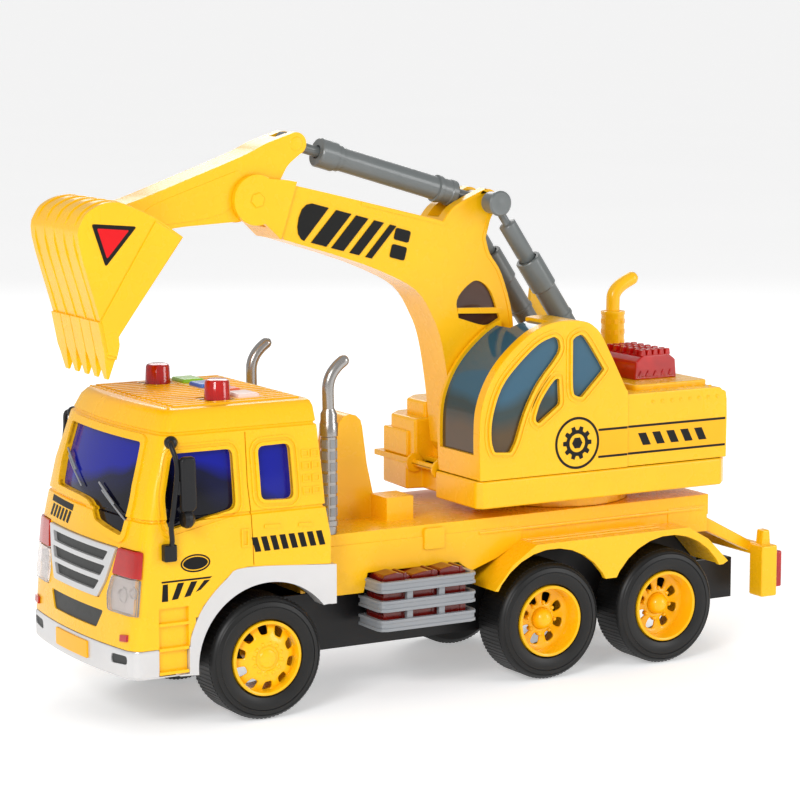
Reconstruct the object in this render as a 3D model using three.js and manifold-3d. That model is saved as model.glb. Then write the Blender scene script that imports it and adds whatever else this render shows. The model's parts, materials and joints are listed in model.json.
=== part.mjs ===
// Toy excavator on a three-axle toy truck.
// Millimetres. +X is the driving direction, +Y the truck's left side, +Z up, and the wheels stand on z = 0.
// Every separate piece is one closed mesh. Nested groups carry the pieces: the truck's body stands on its
// wheel arches, the house turns on the deck, and boom, stick and bucket hang one on the other.
import * as THREE from 'three';
import { mergeVertices } from 'three/addons/utils/BufferGeometryUtils.js';
import Module from 'manifold-3d';

const wasm = await Module();
wasm.setup();

// ---------- driving dimensions ----------
const GAP = 0.3; // between two pieces that meet
const RUNNING = 0.35; // radial clearance of a pin or shaft in its bore
const WALL = 2.2; // wall of the moulded shells

// wheels and axles
const tyreRadius = 28;
const tyreWidth = 23;
const rimRadius = 17;
const axleRadius = 2.5;
const archClearance = 7;
const tandemGap = 10.5; // between the tyres of the two rear axles
const wheelBase = 150;
const axleX = { front: 0, middle: -wheelBase, rear: -wheelBase - 2 * tyreRadius - tandemGap };
const frontAxleToOrigin = 107.2;

// truck body: plan and levels; levels are measured from the top of the wheel arches
const bodyHalfWidth = 55;
const cabSill = -37.3;
const bumperTop = -24.6;
const cabBelt = 31.5;
const cabGroove = 68.5;
const cabRoofEdge = 76;
const cabRoof = 79;
const cabRearX = -32;
const cabFrontX = 66;
const cabBow = 4.8;
const deckTop = 14.8;
const deckThickness = 10;
const deckInset = 15; // the deck's edge inside the mudguards' edge
const deckHalfWidth = bodyHalfWidth - deckInset;
const deckOverhang = 34; // behind the rear axle
const deckRearX = axleX.rear - deckOverhang;
const fenderThickness = 2.8;
const wheelSetback = 1; // tyre face inside the body's side
const wheelToChassis = 3;
const chassisHalfWidth = bodyHalfWidth - wheelSetback - tyreWidth - wheelToChassis;
const chassisOverhang = 57.5;
const chassisRearX = axleX.rear - chassisOverhang;
const chassisFrontX = 48;
const chassisTailTop = -21;
const chassisStep = -14;

// rotating house
const houseX = (axleX.middle + axleX.rear) / 2 - 0.75;
const houseClearance = 6.2;
const houseSkirt = 13;
const houseFrontX = 72;
const houseRearX = -71.5;
const houseHalfWidth = 50;
const hoodFrontX = -10;
const hoodRearX = -70;
const hoodTop = 48;
const pivotRadius = 12;

// boom, stick and bucket
const boomHalfWidth = 11;
const forkWall = 1.5;
const eyeGap = 0.5; // between two eyes on one pin
const collarRise = 1.4; // the collar and the fork's cheeks stand this much proud of the beam
const boomPivot = [50, 28];
const boomTip = [116.2, 116.5];
const boomLug = [-6.3, 111];
const stickHalfWidth = boomHalfWidth - forkWall - eyeGap;
const stickEar = [-21.6, 24.6];
const stickEarRadius = 5.2;
const bucketPivot = [63.8, -8.5];
const bucketHalfWidth = 26;
const bucketWall = 2.2;
const pinRadius = 2;
const boomPinRadius = 2.5;
const heelRadius = 10;

// hydraulic cylinders
const liftBase = [-14.2, 54];
const liftBarrelRadius = 5.8;
const liftRodRadius = 4.2;
const liftBarrelStart = 33; // from the lug pin down to the barrel's mouth
const liftRodLength = 72;
const armBarrelRadius = 4.8;
const armRodRadius = 2.6;
const armBarrelLength = 87;
const rodBoreClearance = 0.4;
const eyeHalfWidth = 3.8;
const bayWall = 0.8; // between a lift cylinder and the wall of its bay
const liftOffsetY = boomHalfWidth + liftBarrelRadius + bayWall;
const cylinderBayY = liftOffsetY + liftBarrelRadius + bayWall;
const cabinInnerY = boomHalfWidth + 1;
const bayLow = -boomHalfWidth - 3; // right side of the bay that the boom stands in

const archRadius = tyreRadius + archClearance;
const archTop = tyreRadius + archRadius;
const axleLevel = -archRadius;

// ---------- materials ----------
const finish = (color, roughness, metalness = 0) =>
  new THREE.MeshStandardMaterial({ color, roughness, metalness });
const glossYellow = () => finish(0xfdc81a, 0.28);
const silverPaint = () => finish(0xc9ccd0, 0.38, 0.5);
const darkPlastic = () => finish(0x1c1d20, 0.5);
const tyreBlack = () => finish(0x1b1b1d, 0.75);
const tintedBlue = () => finish(0x14205e, 0.1);
const smokedGlass = () => finish(0x5a5a4c, 0.1);
const redLens = () => finish(0xd8251c, 0.15);
const cylinderGrey = () => finish(0x6e7276, 0.45, 0.2);
const steel = () => finish(0xb9bcc0, 0.3, 1);
const circuitGreen = () => finish(0x1f6b3a, 0.6);

// ---------- geometry helpers ----------
function solidOf(geometry) {
  const bare = geometry.clone();
  bare.deleteAttribute('normal');
  bare.deleteAttribute('uv');
  const merged = mergeVertices(bare, 1e-4);
  const mesh = new wasm.Mesh({
    numProp: 3,
    vertProperties: new Float32Array(merged.attributes.position.array),
    triVerts: new Uint32Array(merged.index.array),
  });
  return new wasm.Manifold(mesh);
}

function geometryOf(solid) {
  const mesh = solid.getMesh();
  const geometry = new THREE.BufferGeometry();
  geometry.setAttribute('position', new THREE.BufferAttribute(mesh.vertProperties, 3));
  geometry.setIndex(new THREE.BufferAttribute(mesh.triVerts, 1));
  return geometry;
}

const join = (...geometries) => geometryOf(geometries.map(solidOf).reduce((sum, next) => sum.add(next)));
const cut = (base, ...tools) =>
  geometryOf(tools.map(solidOf).reduce((left, tool) => left.subtract(tool), solidOf(base)));
const common = (a, b) => geometryOf(solidOf(a).intersect(solidOf(b)));

const outline = (points) => new THREE.Shape(points.map(([u, v]) => new THREE.Vector2(u, v)));

function disc(u, v, radius, steps = 16) {
  const points = [];
  for (let i = 0; i < steps; i += 1) {
    const turn = (2 * Math.PI * i) / steps;
    points.push([u + radius * Math.cos(turn), v + radius * Math.sin(turn)]);
  }
  return points;
}

// An arc from one angle to another, in degrees, as part of an outline.
function arc(u, v, radius, from, to, steps = 6) {
  const points = [];
  for (let i = 0; i <= steps; i += 1) {
    const turn = THREE.MathUtils.degToRad(from + ((to - from) * i) / steps);
    points.push([u + radius * Math.cos(turn), v + radius * Math.sin(turn)]);
  }
  return points;
}

// Moves every edge of a closed outline outwards by a distance, or inwards if it is negative.
function offset(points, distance) {
  const side = THREE.ShapeUtils.isClockWise(points.map(([u, v]) => new THREE.Vector2(u, v))) ? -1 : 1;
  const count = points.length;
  const normalOf = (a, b) => {
    const length = Math.hypot(b[0] - a[0], b[1] - a[1]);
    return [(side * (b[1] - a[1])) / length, (-side * (b[0] - a[0])) / length];
  };
  return points.map((point, i) => {
    const before = normalOf(points[(i + count - 1) % count], point);
    const after = normalOf(point, points[(i + 1) % count]);
    const lengthen = distance / (1 + before[0] * after[0] + before[1] * after[1]);
    return [point[0] + lengthen * (before[0] + after[0]), point[1] + lengthen * (before[1] + after[1])];
  });
}

// A side-view outline (x, z) made solid between two y values.
function plateXZ(points, yLow, yHigh, holes = []) {
  const shape = outline(points);
  shape.holes = holes.map(outline);
  const geometry = new THREE.ExtrudeGeometry(shape, { depth: yHigh - yLow, bevelEnabled: false });
  geometry.rotateX(Math.PI / 2);
  geometry.translate(0, yHigh, 0);
  return geometry;
}

// A plan outline (x, y) made solid between two levels.
function plateXY(points, zLow, zHigh, holes = []) {
  const shape = outline(points);
  shape.holes = holes.map(outline);
  const geometry = new THREE.ExtrudeGeometry(shape, { depth: zHigh - zLow, bevelEnabled: false });
  geometry.translate(0, 0, zLow);
  return geometry;
}

// A front-view outline (y, z) made solid between two x values.
function plateYZ(points, xLow, xHigh) {
  const geometry = new THREE.ExtrudeGeometry(outline(points), { depth: xHigh - xLow, bevelEnabled: false });
  const basis = new THREE.Matrix4().makeBasis(
    new THREE.Vector3(0, 1, 0),
    new THREE.Vector3(0, 0, 1),
    new THREE.Vector3(1, 0, 0),
  );
  geometry.applyMatrix4(basis);
  geometry.translate(xLow, 0, 0);
  return geometry;
}

function block(xLow, xHigh, yLow, yHigh, zLow, zHigh) {
  const geometry = new THREE.BoxGeometry(xHigh - xLow, yHigh - yLow, zHigh - zLow);
  geometry.translate((xLow + xHigh) / 2, (yLow + yHigh) / 2, (zLow + zHigh) / 2);
  return geometry;
}

// Turns the faces of a closed geometry round if they point inwards.
function facingOut(geometry) {
  const bare = geometry.index ? geometry.toNonIndexed() : geometry;
  const spot = bare.attributes.position;
  const corner = (i) => new THREE.Vector3().fromBufferAttribute(spot, i);
  let volume = 0;
  for (let i = 0; i < spot.count; i += 3) volume += corner(i).dot(corner(i + 1).cross(corner(i + 2)));
  if (volume < 0) geometry.index.array.reverse();
  return geometry;
}

// A body of revolution about the Y axis through (x, z): profile points are (radius, y).
function turnedY(profile, x = 0, z = 0, steps = 16) {
  const geometry = new THREE.LatheGeometry(profile.map(([r, y]) => new THREE.Vector2(r, y)), steps);
  geometry.translate(x, 0, z);
  return facingOut(geometry);
}

// A body of revolution about a vertical axis: profile points are (radius, z).
function turnedZ(profile, x = 0, y = 0, steps = 16) {
  const geometry = new THREE.LatheGeometry(profile.map(([r, z]) => new THREE.Vector2(r, z)), steps);
  geometry.rotateX(Math.PI / 2);
  geometry.translate(x, y, 0);
  return facingOut(geometry);
}

// A round bar along Y between two y values.
const barY = (x, z, radius, yLow, yHigh, steps = 12) =>
  turnedY([[0, yLow], [radius, yLow], [radius, yHigh], [0, yHigh]], x, z, steps);

// A body of revolution along a slanted line in the XZ plane: profile points are (radius, distance along it).
function turnedAlong(profile, start, direction, y = 0, steps = 12) {
  const geometry = new THREE.LatheGeometry(profile.map(([r, s]) => new THREE.Vector2(r, s)), steps);
  const aim = new THREE.Vector3(direction[0], 0, direction[1]).normalize();
  geometry.applyQuaternion(new THREE.Quaternion().setFromUnitVectors(new THREE.Vector3(0, 1, 0), aim));
  geometry.translate(start[0], y, start[1]);
  return facingOut(geometry);
}

function tubeAlong(points, radius, steps = 12, sides = 8) {
  const path = new THREE.CatmullRomCurve3(points.map((p) => new THREE.Vector3(...p)), false, 'centripetal');
  const section = outline(disc(0, 0, radius, sides));
  return new THREE.ExtrudeGeometry(section, { steps, extrudePath: path, bevelEnabled: false });
}

// Joins equal rings of points into one closed skin with flat ends; rings run anticlockwise seen from above.
function loft(rings) {
  const count = rings[0].length;
  const positions = rings.flat(2);
  const triangles = [];
  for (let k = 0; k + 1 < rings.length; k += 1) {
    for (let i = 0; i < count; i += 1) {
      const next = (i + 1) % count;
      const [a, b, c, d] = [k * count + i, k * count + next, (k + 1) * count + next, (k + 1) * count + i];
      triangles.push(a, b, c, a, c, d);
    }
  }
  const lid = THREE.ShapeUtils.triangulateShape(rings[0].map(([x, y]) => new THREE.Vector2(x, y)), []);
  const top = (rings.length - 1) * count;
  for (const [a, b, c] of lid) {
    triangles.push(c, b, a);
    triangles.push(top + a, top + b, top + c);
  }
  const geometry = new THREE.BufferGeometry();
  geometry.setAttribute('position', new THREE.Float32BufferAttribute(positions, 3));
  geometry.setIndex(triangles);
  return geometry;
}

function piece(parent, name, geometry, material) {
  const mesh = new THREE.Mesh(geometry, material);
  mesh.name = name;
  parent.add(mesh);
  return mesh;
}

const SIDES = [['left', 1], ['right', -1]];

// Two distances from the middle plane as a low and a high y on one side of it.
const span = (side, near, far) => [side * near, side * far].sort((a, b) => a - b);

// ---------- groups ----------
const excavator = new THREE.Group();
const truck = new THREE.Group();
truck.position.x = frontAxleToOrigin;
const body = new THREE.Group();
body.position.z = archTop;
const house = new THREE.Group();
house.position.set(houseX, 0, deckTop + houseClearance);
const boomGroup = new THREE.Group();
boomGroup.position.set(boomPivot[0], 0, boomPivot[1]);
const stickGroup = new THREE.Group();
stickGroup.position.set(boomTip[0], 0, boomTip[1]);
const bucketGroup = new THREE.Group();
bucketGroup.position.set(bucketPivot[0], 0, bucketPivot[1]);
excavator.add(truck);
truck.add(body);
body.add(house);
house.add(boomGroup);
boomGroup.add(stickGroup);
stickGroup.add(bucketGroup);

// ---------- wheels and axles ----------
const wheelOuterY = bodyHalfWidth - wheelSetback;
const wheelInnerY = wheelOuterY - tyreWidth;

function tyreGeometry(side) {
  const seat = rimRadius + GAP;
  const shoulder = 2.5;
  const profile = [
    [seat, wheelInnerY + 2],
    [tyreRadius - shoulder, wheelInnerY],
    [tyreRadius, wheelInnerY + shoulder],
    [tyreRadius, wheelOuterY - shoulder],
    [tyreRadius - shoulder, wheelOuterY],
    [seat, wheelOuterY - 2],
    [seat, wheelInnerY + 2],
  ];
  return turnedY(mirrored(profile, side), 0, 0, 24);
}

// Mirroring a profile in y also turns its direction round, so that the faces still point out.
function mirrored(profile, side) {
  if (side > 0) return profile;
  return profile.map(([r, y]) => [r, -y]).reverse();
}

function rimGeometry(side, isFront) {
  const faceY = isFront ? wheelOuterY - 3 : wheelOuterY - 10;
  const bore = axleRadius + GAP;
  const web = 3;
  const profile = [
    [bore, wheelInnerY + 3],
    [7, wheelInnerY + 3],
    [7, faceY - web],
    [rimRadius - 3, faceY - web],
    [rimRadius - 3, wheelInnerY + 2],
    [rimRadius, wheelInnerY + 2],
    [rimRadius, wheelOuterY - 1],
    [rimRadius - 2, wheelOuterY - 1],
    [rimRadius - 3, faceY],
    [6, faceY + (isFront ? 3 : 2)],
    [bore, faceY + (isFront ? 3 : 2)],
    [bore, wheelInnerY + 3],
  ];
  return turnedY(mirrored(profile, side), 0, 0, 16);
}

for (const [place, x] of Object.entries(axleX)) {
  const station = new THREE.Group();
  station.position.set(x, 0, tyreRadius);
  truck.add(station);
  const axleEnd = wheelOuterY - 12;
  piece(station, `axle_${place}`, barY(0, 0, axleRadius, -axleEnd, axleEnd, 14), steel());
  for (const [sideName, side] of SIDES) {
    piece(station, `tyre_${place}_${sideName}`, tyreGeometry(side), tyreBlack());
    piece(station, `rim_${place}_${sideName}`, rimGeometry(side, place === 'front'), glossYellow());
  }
}

// ---------- chassis, motor and electrics ----------
const chassisBottom = axleLevel - 6;
const chassisTop = deckTop - deckThickness - GAP;
const axleBore = axleRadius + RUNNING;
const motorFront = axleX.rear + 24;
const motorRear = axleX.rear - 20;

function chassisGeometry() {
  const inner = chassisHalfWidth - WALL;
  const frame = block(chassisRearX, chassisFrontX, -chassisHalfWidth, chassisHalfWidth, chassisBottom,
    chassisTop);
  const tray = block(chassisRearX + WALL, chassisFrontX - WALL, -inner, inner, chassisBottom + WALL,
    chassisTop + 1);
  const reach = chassisHalfWidth + 1;
  const bores = Object.values(axleX).map((x) => barY(x, axleLevel, axleBore, -reach, reach, 16));
  const hatch = block(-118, -62, -20, 20, chassisBottom - 1, chassisBottom + WALL + 1);
  const cabStep = block(-34, chassisFrontX + 1, -reach, reach, chassisStep, chassisTop + 1);
  const upright = block(motorFront + 8, motorFront + 10, -inner - 1, inner + 1, chassisBottom + 1,
    axleLevel + 14);
  const tail = block(chassisRearX - 1, deckRearX - 2, -reach, reach, chassisTailTop, chassisTop + 1);
  return cut(join(cut(frame, tray, cabStep, tail), upright), hatch, ...bores);
}
piece(body, 'chassis', chassisGeometry(), darkPlastic());

const hatchCover = block(-118 + GAP, -62 - GAP, -20 + GAP, 20 - GAP, chassisBottom, chassisBottom + WALL);
piece(body, 'battery_cover', hatchCover, darkPlastic());

function frictionMotorGeometry() {
  const halfWidth = 14;
  const bottom = chassisBottom + WALL + GAP;
  const box = block(motorRear, motorFront, -halfWidth, halfWidth, bottom, axleLevel + 13);
  return cut(box, barY(axleX.rear, axleLevel, axleBore, -halfWidth - 1, halfWidth + 1, 16));
}
piece(body, 'friction_motor', frictionMotorGeometry(), finish(0xd9d9d2, 0.5));

const boardLevel = chassisBottom + WALL + 8.5;
const boardThickness = 1.6;
const speaker = { x: 8, radius: 9, height: 5 };
const speakerTop = boardLevel + boardThickness + speaker.height;
const soundBoard = join(
  block(-24, 22, -18, 18, boardLevel, boardLevel + boardThickness),
  plateXY(disc(speaker.x, 0, speaker.radius, 18), boardLevel + 1, speakerTop),
);
piece(body, 'sound_board', soundBoard, circuitGreen());

// ---------- deck with moulded mudguards ----------
const deckBottom = deckTop - deckThickness;
const fenderTop = fenderThickness;
const fenderFrontX = axleX.middle + archRadius - 3;
const fenderRearX = axleX.rear - archRadius - 0.5;

function deckGeometry() {
  const frontX = cabRearX - 4;
  const slabs = plateXY([[deckRearX, -deckHalfWidth], [frontX, -deckHalfWidth], [frontX, deckHalfWidth],
    [deckRearX, deckHalfWidth]], deckBottom, deckTop);
  const hollow = block(deckRearX + WALL, frontX - WALL, -deckHalfWidth + WALL, deckHalfWidth - WALL,
    deckBottom - 1, deckTop - WALL);
  const boss = turnedZ([[0, deckBottom], [pivotRadius + 8, deckBottom], [pivotRadius + 8, deckTop - 1],
    [0, deckTop - 1]], houseX, 0, 24);
  const bore = turnedZ([[0, deckBottom - 2], [pivotRadius + RUNNING, deckBottom - 2],
    [pivotRadius + RUNNING, deckTop + 2], [0, deckTop + 2]], houseX, 0, 28);
  const side = [
    [axleX.middle + 9, fenderTop],
    [axleX.rear - 11.5, fenderTop],
    [fenderRearX + 12, -4],
    [fenderRearX, -16],
    [fenderRearX + 3, -17.5],
    [fenderFrontX - 3, -17.5],
    [fenderFrontX, -17],
    [axleX.middle + 22, -5.5],
  ];
  const underside = [
    [axleX.middle + 8, 0],
    [axleX.rear - 10.5, 0],
    [fenderRearX + 14, -6],
    [fenderRearX + 4, -17],
    [fenderRearX + 4, -30],
    [fenderFrontX - 4, -30],
    [fenderFrontX - 4, -17.5],
    [axleX.middle + 20.5, -8],
  ];
  const guard = cut(
    plateXZ(side, -bodyHalfWidth, bodyHalfWidth),
    plateXZ(underside, -bodyHalfWidth + fenderThickness, bodyHalfWidth - fenderThickness),
    plateXZ(disc(axleX.middle, axleLevel, archRadius, 30), -bodyHalfWidth - 1, bodyHalfWidth + 1),
    plateXZ(disc(axleX.rear, axleLevel, archRadius, 30), -bodyHalfWidth - 1, bodyHalfWidth + 1),
  );
  const skirtFloor = block(fenderRearX + 8, fenderFrontX - 8, -deckHalfWidth + 4, deckHalfWidth - 4, 0,
    fenderTop);
  const chassisSlot = block(fenderRearX - 9, fenderFrontX + 9, -chassisHalfWidth - 1, chassisHalfWidth + 1,
    axleLevel, chassisTop + GAP);
  const lip = block(axleX.rear - 11, axleX.middle + 9, -deckHalfWidth, deckHalfWidth, 0.5, deckBottom + 0.5);
  const lipRoom = block(fenderRearX, fenderFrontX, -deckHalfWidth + WALL, deckHalfWidth - WALL, -1,
    deckBottom + 2);
  const top = join(cut(slabs, hollow), boss, cut(lip, lipRoom));
  return cut(join(top, cut(join(guard, skirtFloor), chassisSlot)), bore);
}

// ---------- cab ----------
// One level of the cab: a plan outline with a bowed front and rounded corners.
function cabRing(z, front, rear, half, shrink = 0) {
  const corner = 5 - shrink / 2;
  const halfWidth = half - shrink;
  const frontX = front - shrink;
  const rearX = rear + shrink;
  const ring = [[rearX, -halfWidth + 1.5, z], [rearX + 1.5, -halfWidth, z]];
  const flat = halfWidth - corner;
  const cornerX = frontX - cabBow - corner;
  for (const [x, y] of arc(cornerX, -flat, corner, -90, -15, 2)) ring.push([x, y, z]);
  const bowSteps = 4;
  for (let i = 0; i <= bowSteps; i += 1) {
    const y = -flat + (2 * flat * i) / bowSteps;
    ring.push([frontX - cabBow * (y / halfWidth) ** 2, y, z]);
  }
  for (const [x, y] of arc(cornerX, flat, corner, 15, 90, 2)) ring.push([x, y, z]);
  ring.push([rearX + 1.5, halfWidth, z], [rearX, halfWidth - 1.5, z]);
  return ring;
}

const bumperFrontX = cabFrontX + 5;
const cabLevels = [
  [bumperTop + GAP, cabFrontX + 4.5, cabRearX - 1.5, bodyHalfWidth],
  [-6, cabFrontX + 3, cabRearX, bodyHalfWidth],
  [18, cabFrontX + 0.3, cabRearX, bodyHalfWidth],
  [cabBelt, cabFrontX - 2.6, cabRearX + 2.5, bodyHalfWidth - 0.4],
  [46, cabFrontX - 5.7, cabRearX + 3.5, bodyHalfWidth - 1.5],
  [cabGroove, cabFrontX - 13, cabRearX + 5, bodyHalfWidth - 4],
  [cabRoofEdge, cabFrontX - 16.5, cabRearX + 5, bodyHalfWidth - 7.5],
  [cabRoof, cabFrontX - 20, cabRearX + 6.5, bodyHalfWidth - 11],
];

function cabLoft(shrink) {
  const levels = cabLevels.map(([z, front, rear, half], i) => {
    const isFirst = i === 0 && shrink > 0;
    const isLast = i === cabLevels.length - 1;
    const level = z - (isLast ? shrink : 0) - (isFirst ? 5 : 0);
    return cabRing(level, front, rear, half, shrink);
  });
  return loft(levels);
}

const archOutline = [
  [44, cabSill],
  [44, bumperTop],
  [39, bumperTop],
  [38, -19],
  [32.2, -7.4],
  [20.9, 3.7],
  [10.7, 7.8],
  [cabRearX - 2, 4.7],
  [cabRearX - 2, -11.5],
  [cabRearX + 2, -12.1],
  [cabRearX + 6, -20],
  [0, -30],
  [26, cabSill],
];
const frontSideWindow = [[45.8, 60.8], [16.5, 60.8], [16, 34.5], [49.3, 27.8], [50.2, 42.2]];
const rearSideWindow = [[4, 60.8], [-12, 61], [-12.9, 36.2], [3.4, 36.9]];
const windscreen = [[-36.5, 64.5], [-35, 36], [-3, 35.3], [6.7, 32.8], [13, 27.5], [25, 25.5], [37.6, 24],
  [39.5, 40], [36.5, 64.5]];
const grilleOutline = [[-23.4, -5], [23.4, -5], [29, 3], [35.7, 18.5], [-35.7, 18.5], [-29, 3]];
const lowerGrilleOutline = [[-22.8, -18.7], [22.8, -18.7], [28.1, -10.4], [-28.1, -10.4]];
const headlightOutline = [[38, 19], [57, 19], [57, -9], [33, -9], [31.5, -2]];
const headlightRearX = cabFrontX - 8;
const lampDepth = 3;

const through = bodyHalfWidth + 10;
const frontReach = cabFrontX + 20;
const sideOf = (points, side) => points.map(([y, z]) => [side * y, z]);
const frontPrism = (points, gap = 0, from = cabFrontX - 25) =>
  plateYZ(gap ? offset(points, gap) : points, from, frontReach);
const lampPrism = (side, gap) =>
  plateYZ(offset(sideOf(headlightOutline, side), gap), headlightRearX - gap, frontReach);

const cabShell = cut(cabLoft(0), cabLoft(WALL));
const archDepth = 8;
const sidePlates = (points, depth, reach) =>
  SIDES.map(([, side]) => plateXZ(points, ...span(side, bodyHalfWidth - depth, reach)));
const archWells = sidePlates(offset(archOutline, GAP), archDepth + GAP, through);
const belowCab = cabSill - 8;
const chassisRoom = block(cabRearX - 6, 40, -chassisHalfWidth - GAP, chassisHalfWidth + GAP, belowCab,
  chassisStep + GAP);
const wheelRoomX = tyreRadius + 8;
const wheelRoomTop = -12;
const wheelRoom = [[cabRearX - 6, belowCab], [wheelRoomX, belowCab], [wheelRoomX, wheelRoomTop],
  [cabRearX - 6, wheelRoomTop]];
const wheelRooms = sidePlates(wheelRoom, wheelSetback + tyreWidth + 2, through);
const cabGeometry = cut(
  cabShell,
  ...archWells,
  ...wheelRooms,
  chassisRoom,
  plateXZ(frontSideWindow, -through, through),
  plateXZ(rearSideWindow, -through, through),
  frontPrism(windscreen, 0, cabFrontX - 30),
  frontPrism(grilleOutline, GAP),
  frontPrism(lowerGrilleOutline, 0, cabFrontX - 4),
  lampPrism(1, GAP),
  lampPrism(-1, GAP),
);

const roof = { beaconX: 12.5, beaconY: 30.5, beaconRadius: 6, buttonX: -1.5, buttonPitch: 18.6 };
const buttonSize = { x: 11, y: 13.6, height: 5, proud: 2.6 };
const buttonRows = [-1.5, -0.5, 0.5, 1.5];

// The space of one button, with a gap round it, between two levels.
function buttonBlock(row, gap, low, high) {
  const [x, y] = [roof.buttonX, row * roof.buttonPitch];
  const [halfX, halfY] = [buttonSize.x / 2 + gap, buttonSize.y / 2 + gap];
  return block(x - halfX, x + halfX, y - halfY, y + halfY, low, high);
}
const buttonHoles = buttonRows.map((row) => buttonBlock(row, GAP, cabRoof - WALL - 3, cabRoof + 1));
piece(body, 'cab_body', cut(cabGeometry, ...buttonHoles), glossYellow());

const glazingFoot = 20;
const paneThickness = 1.4;
function glazingGeometry() {
  const outer = cabLoft(WALL + GAP);
  const inner = cabLoft(WALL + GAP + paneThickness);
  const band = block(cabRearX - 20, frontReach, -through, through, glazingFoot, cabGroove);
  return common(cut(outer, inner), band);
}
piece(body, 'cab_glazing', glazingGeometry(), tintedBlue());

const proudLoft = cut(cabLoft(-0.8), cabLoft(WALL));
const lampLoft = cut(cabLoft(-0.4), cabLoft(lampDepth));
piece(body, 'grille', common(proudLoft, frontPrism(grilleOutline)), silverPaint());
for (const [sideName, side] of SIDES) {
  piece(body, `headlight_${sideName}`, common(lampLoft, lampPrism(side, 0)), finish(0xe8d8d2, 0.12));
}

function bumperGeometry() {
  const rings = (shrink, low, high) => loft([
    cabRing(low, bumperFrontX, -60, bodyHalfWidth, shrink),
    cabRing(high, bumperFrontX, -60, bodyHalfWidth, shrink),
  ]);
  const front = cut(rings(0, cabSill, bumperTop), rings(WALL, cabSill - 1, bumperTop + 1),
    block(-80, 36, -through, through, cabSill - 1, bumperTop + 1));
  const wheelWell = plateXZ(disc(0, axleLevel, archRadius, 30), -through, through);
  const arches = sidePlates(archOutline, archDepth, bodyHalfWidth + 0.2);
  return cut(join(front, ...arches), wheelWell);
}
piece(body, 'front_bumper', bumperGeometry(), silverPaint());

// ---------- cab roof: beacons and buttons ----------
const buttonColours = { blank: 0xf3d6cf, orange: 0xe8532a, blue: 0x2f5fc4, green: 0x9bd22a };
const buttonNames = ['green', 'blue', 'orange', 'blank'];
const buttonTop = cabRoof + buttonSize.proud;
buttonRows.forEach((row, i) => {
  const cap = buttonBlock(row, 0, buttonTop - buttonSize.height, buttonTop);
  piece(body, `button_${buttonNames[i]}`, cap, finish(buttonColours[buttonNames[i]], 0.3));
});
const beaconHeight = 9.5;
for (const [sideName, side] of SIDES) {
  const foot = cabRoof + GAP;
  const profile = [
    [0, foot],
    [roof.beaconRadius, foot],
    [roof.beaconRadius * 0.92, foot + beaconHeight - 1.5],
    [roof.beaconRadius * 0.75, foot + beaconHeight],
    [0, foot + beaconHeight],
  ];
  piece(body, `beacon_${sideName}`, turnedZ(profile, roof.beaconX, side * roof.beaconY, 16), redLens());
}

// ---------- mirrors and exhaust stacks ----------
const mirrorArm = [[46, -2.4, 66], [47.5, 1.2, 64.5], [46.5, 4.6, 56], [48.5, 5.2, 40], [49.8, 5, 30],
  [48.5, 3, 23.5], [49, 1.6, 18]]; // x, distance outside the body's side, z

function mirrorGeometry(side) {
  const beside = (near, far) => span(side, bodyHalfWidth + near, bodyHalfWidth + far);
  const arm = tubeAlong(mirrorArm.map(([x, out, z]) => [x, side * (bodyHalfWidth + out), z]), 1.1, 12, 6);
  const housing = block(38, 45.2, ...beside(3.6, 7), 36, 60);
  const bridge = block(44, 48.4, ...beside(4.4, 5.8), 44, 50);
  const foot = block(46.2, 52.2, ...beside(GAP, 3.6), 14.5, 22);
  return join(arm, housing, bridge, foot);
}

const exhaust = { x: cabRearX - 8, y: deckHalfWidth - 2.5, radius: 3.9, top: 71.5, pipeRadius: 2.6 };

function exhaustGeometry(side) {
  const y = side * exhaust.y;
  const foot = deckTop + GAP;
  const profile = [
    [0, foot],
    [exhaust.radius, foot],
    [exhaust.radius, exhaust.top - 1.5],
    [exhaust.pipeRadius + 0.2, exhaust.top],
    [0, exhaust.top],
  ];
  const bend = [[0, 66], [0.6, 78], [-0.2, 84], [-2.8, 89.5], [-7.5, 93.5]];
  const pipe = tubeAlong(bend.map(([x, z]) => [exhaust.x + x, y, z]), exhaust.pipeRadius, 10, 8);
  return join(turnedZ(profile, exhaust.x, y, 14), pipe);
}

for (const [sideName, side] of SIDES) {
  piece(body, `mirror_${sideName}`, mirrorGeometry(side), darkPlastic());
  piece(body, `exhaust_${sideName}`, exhaustGeometry(side), silverPaint());
}

// ---------- post and block behind the cab, side racks, rear bar ----------
function postGeometry() {
  const foot = deckTop - 1;
  const post = plateXZ([[-82, foot], [-57, foot], ...arc(-67, 57.5, 6.6, 0, 180, 6), [-76, 40]], -9, 9);
  const box = block(-92.4, -78, 8, 24, foot, foot + 12);
  const bridge = block(-84, -78, 2, 20, foot, foot + 5);
  return join(post, box, bridge);
}
piece(body, 'bed_deck', join(deckGeometry(), postGeometry()), glossYellow());

const rack = {
  front: -57,
  rear: fenderFrontX + 8.6,
  inner: chassisHalfWidth + 6,
  outer: bodyHalfWidth,
  slat: 5.2,
  levels: [-29.7, -20.8, -12],
  uprights: [-73.4, -90.4],
};
const rackTop = rack.levels[2] + rack.slat;

// The slats' plan: an open U round three sides of the load, with cut corners.
function rackHoop(side) {
  const bar = 2.4;
  const corner = 4;
  const ring = (shrink) => [
    [rack.rear + shrink, rack.inner],
    [rack.rear + shrink, rack.outer - corner],
    [rack.rear + corner, rack.outer - shrink],
    [rack.front - corner, rack.outer - shrink],
    [rack.front - shrink, rack.outer - corner],
    [rack.front - shrink, rack.inner],
  ];
  return [...ring(0), ...ring(bar).reverse()].map(([x, y]) => [x, side * y]);
}

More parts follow.
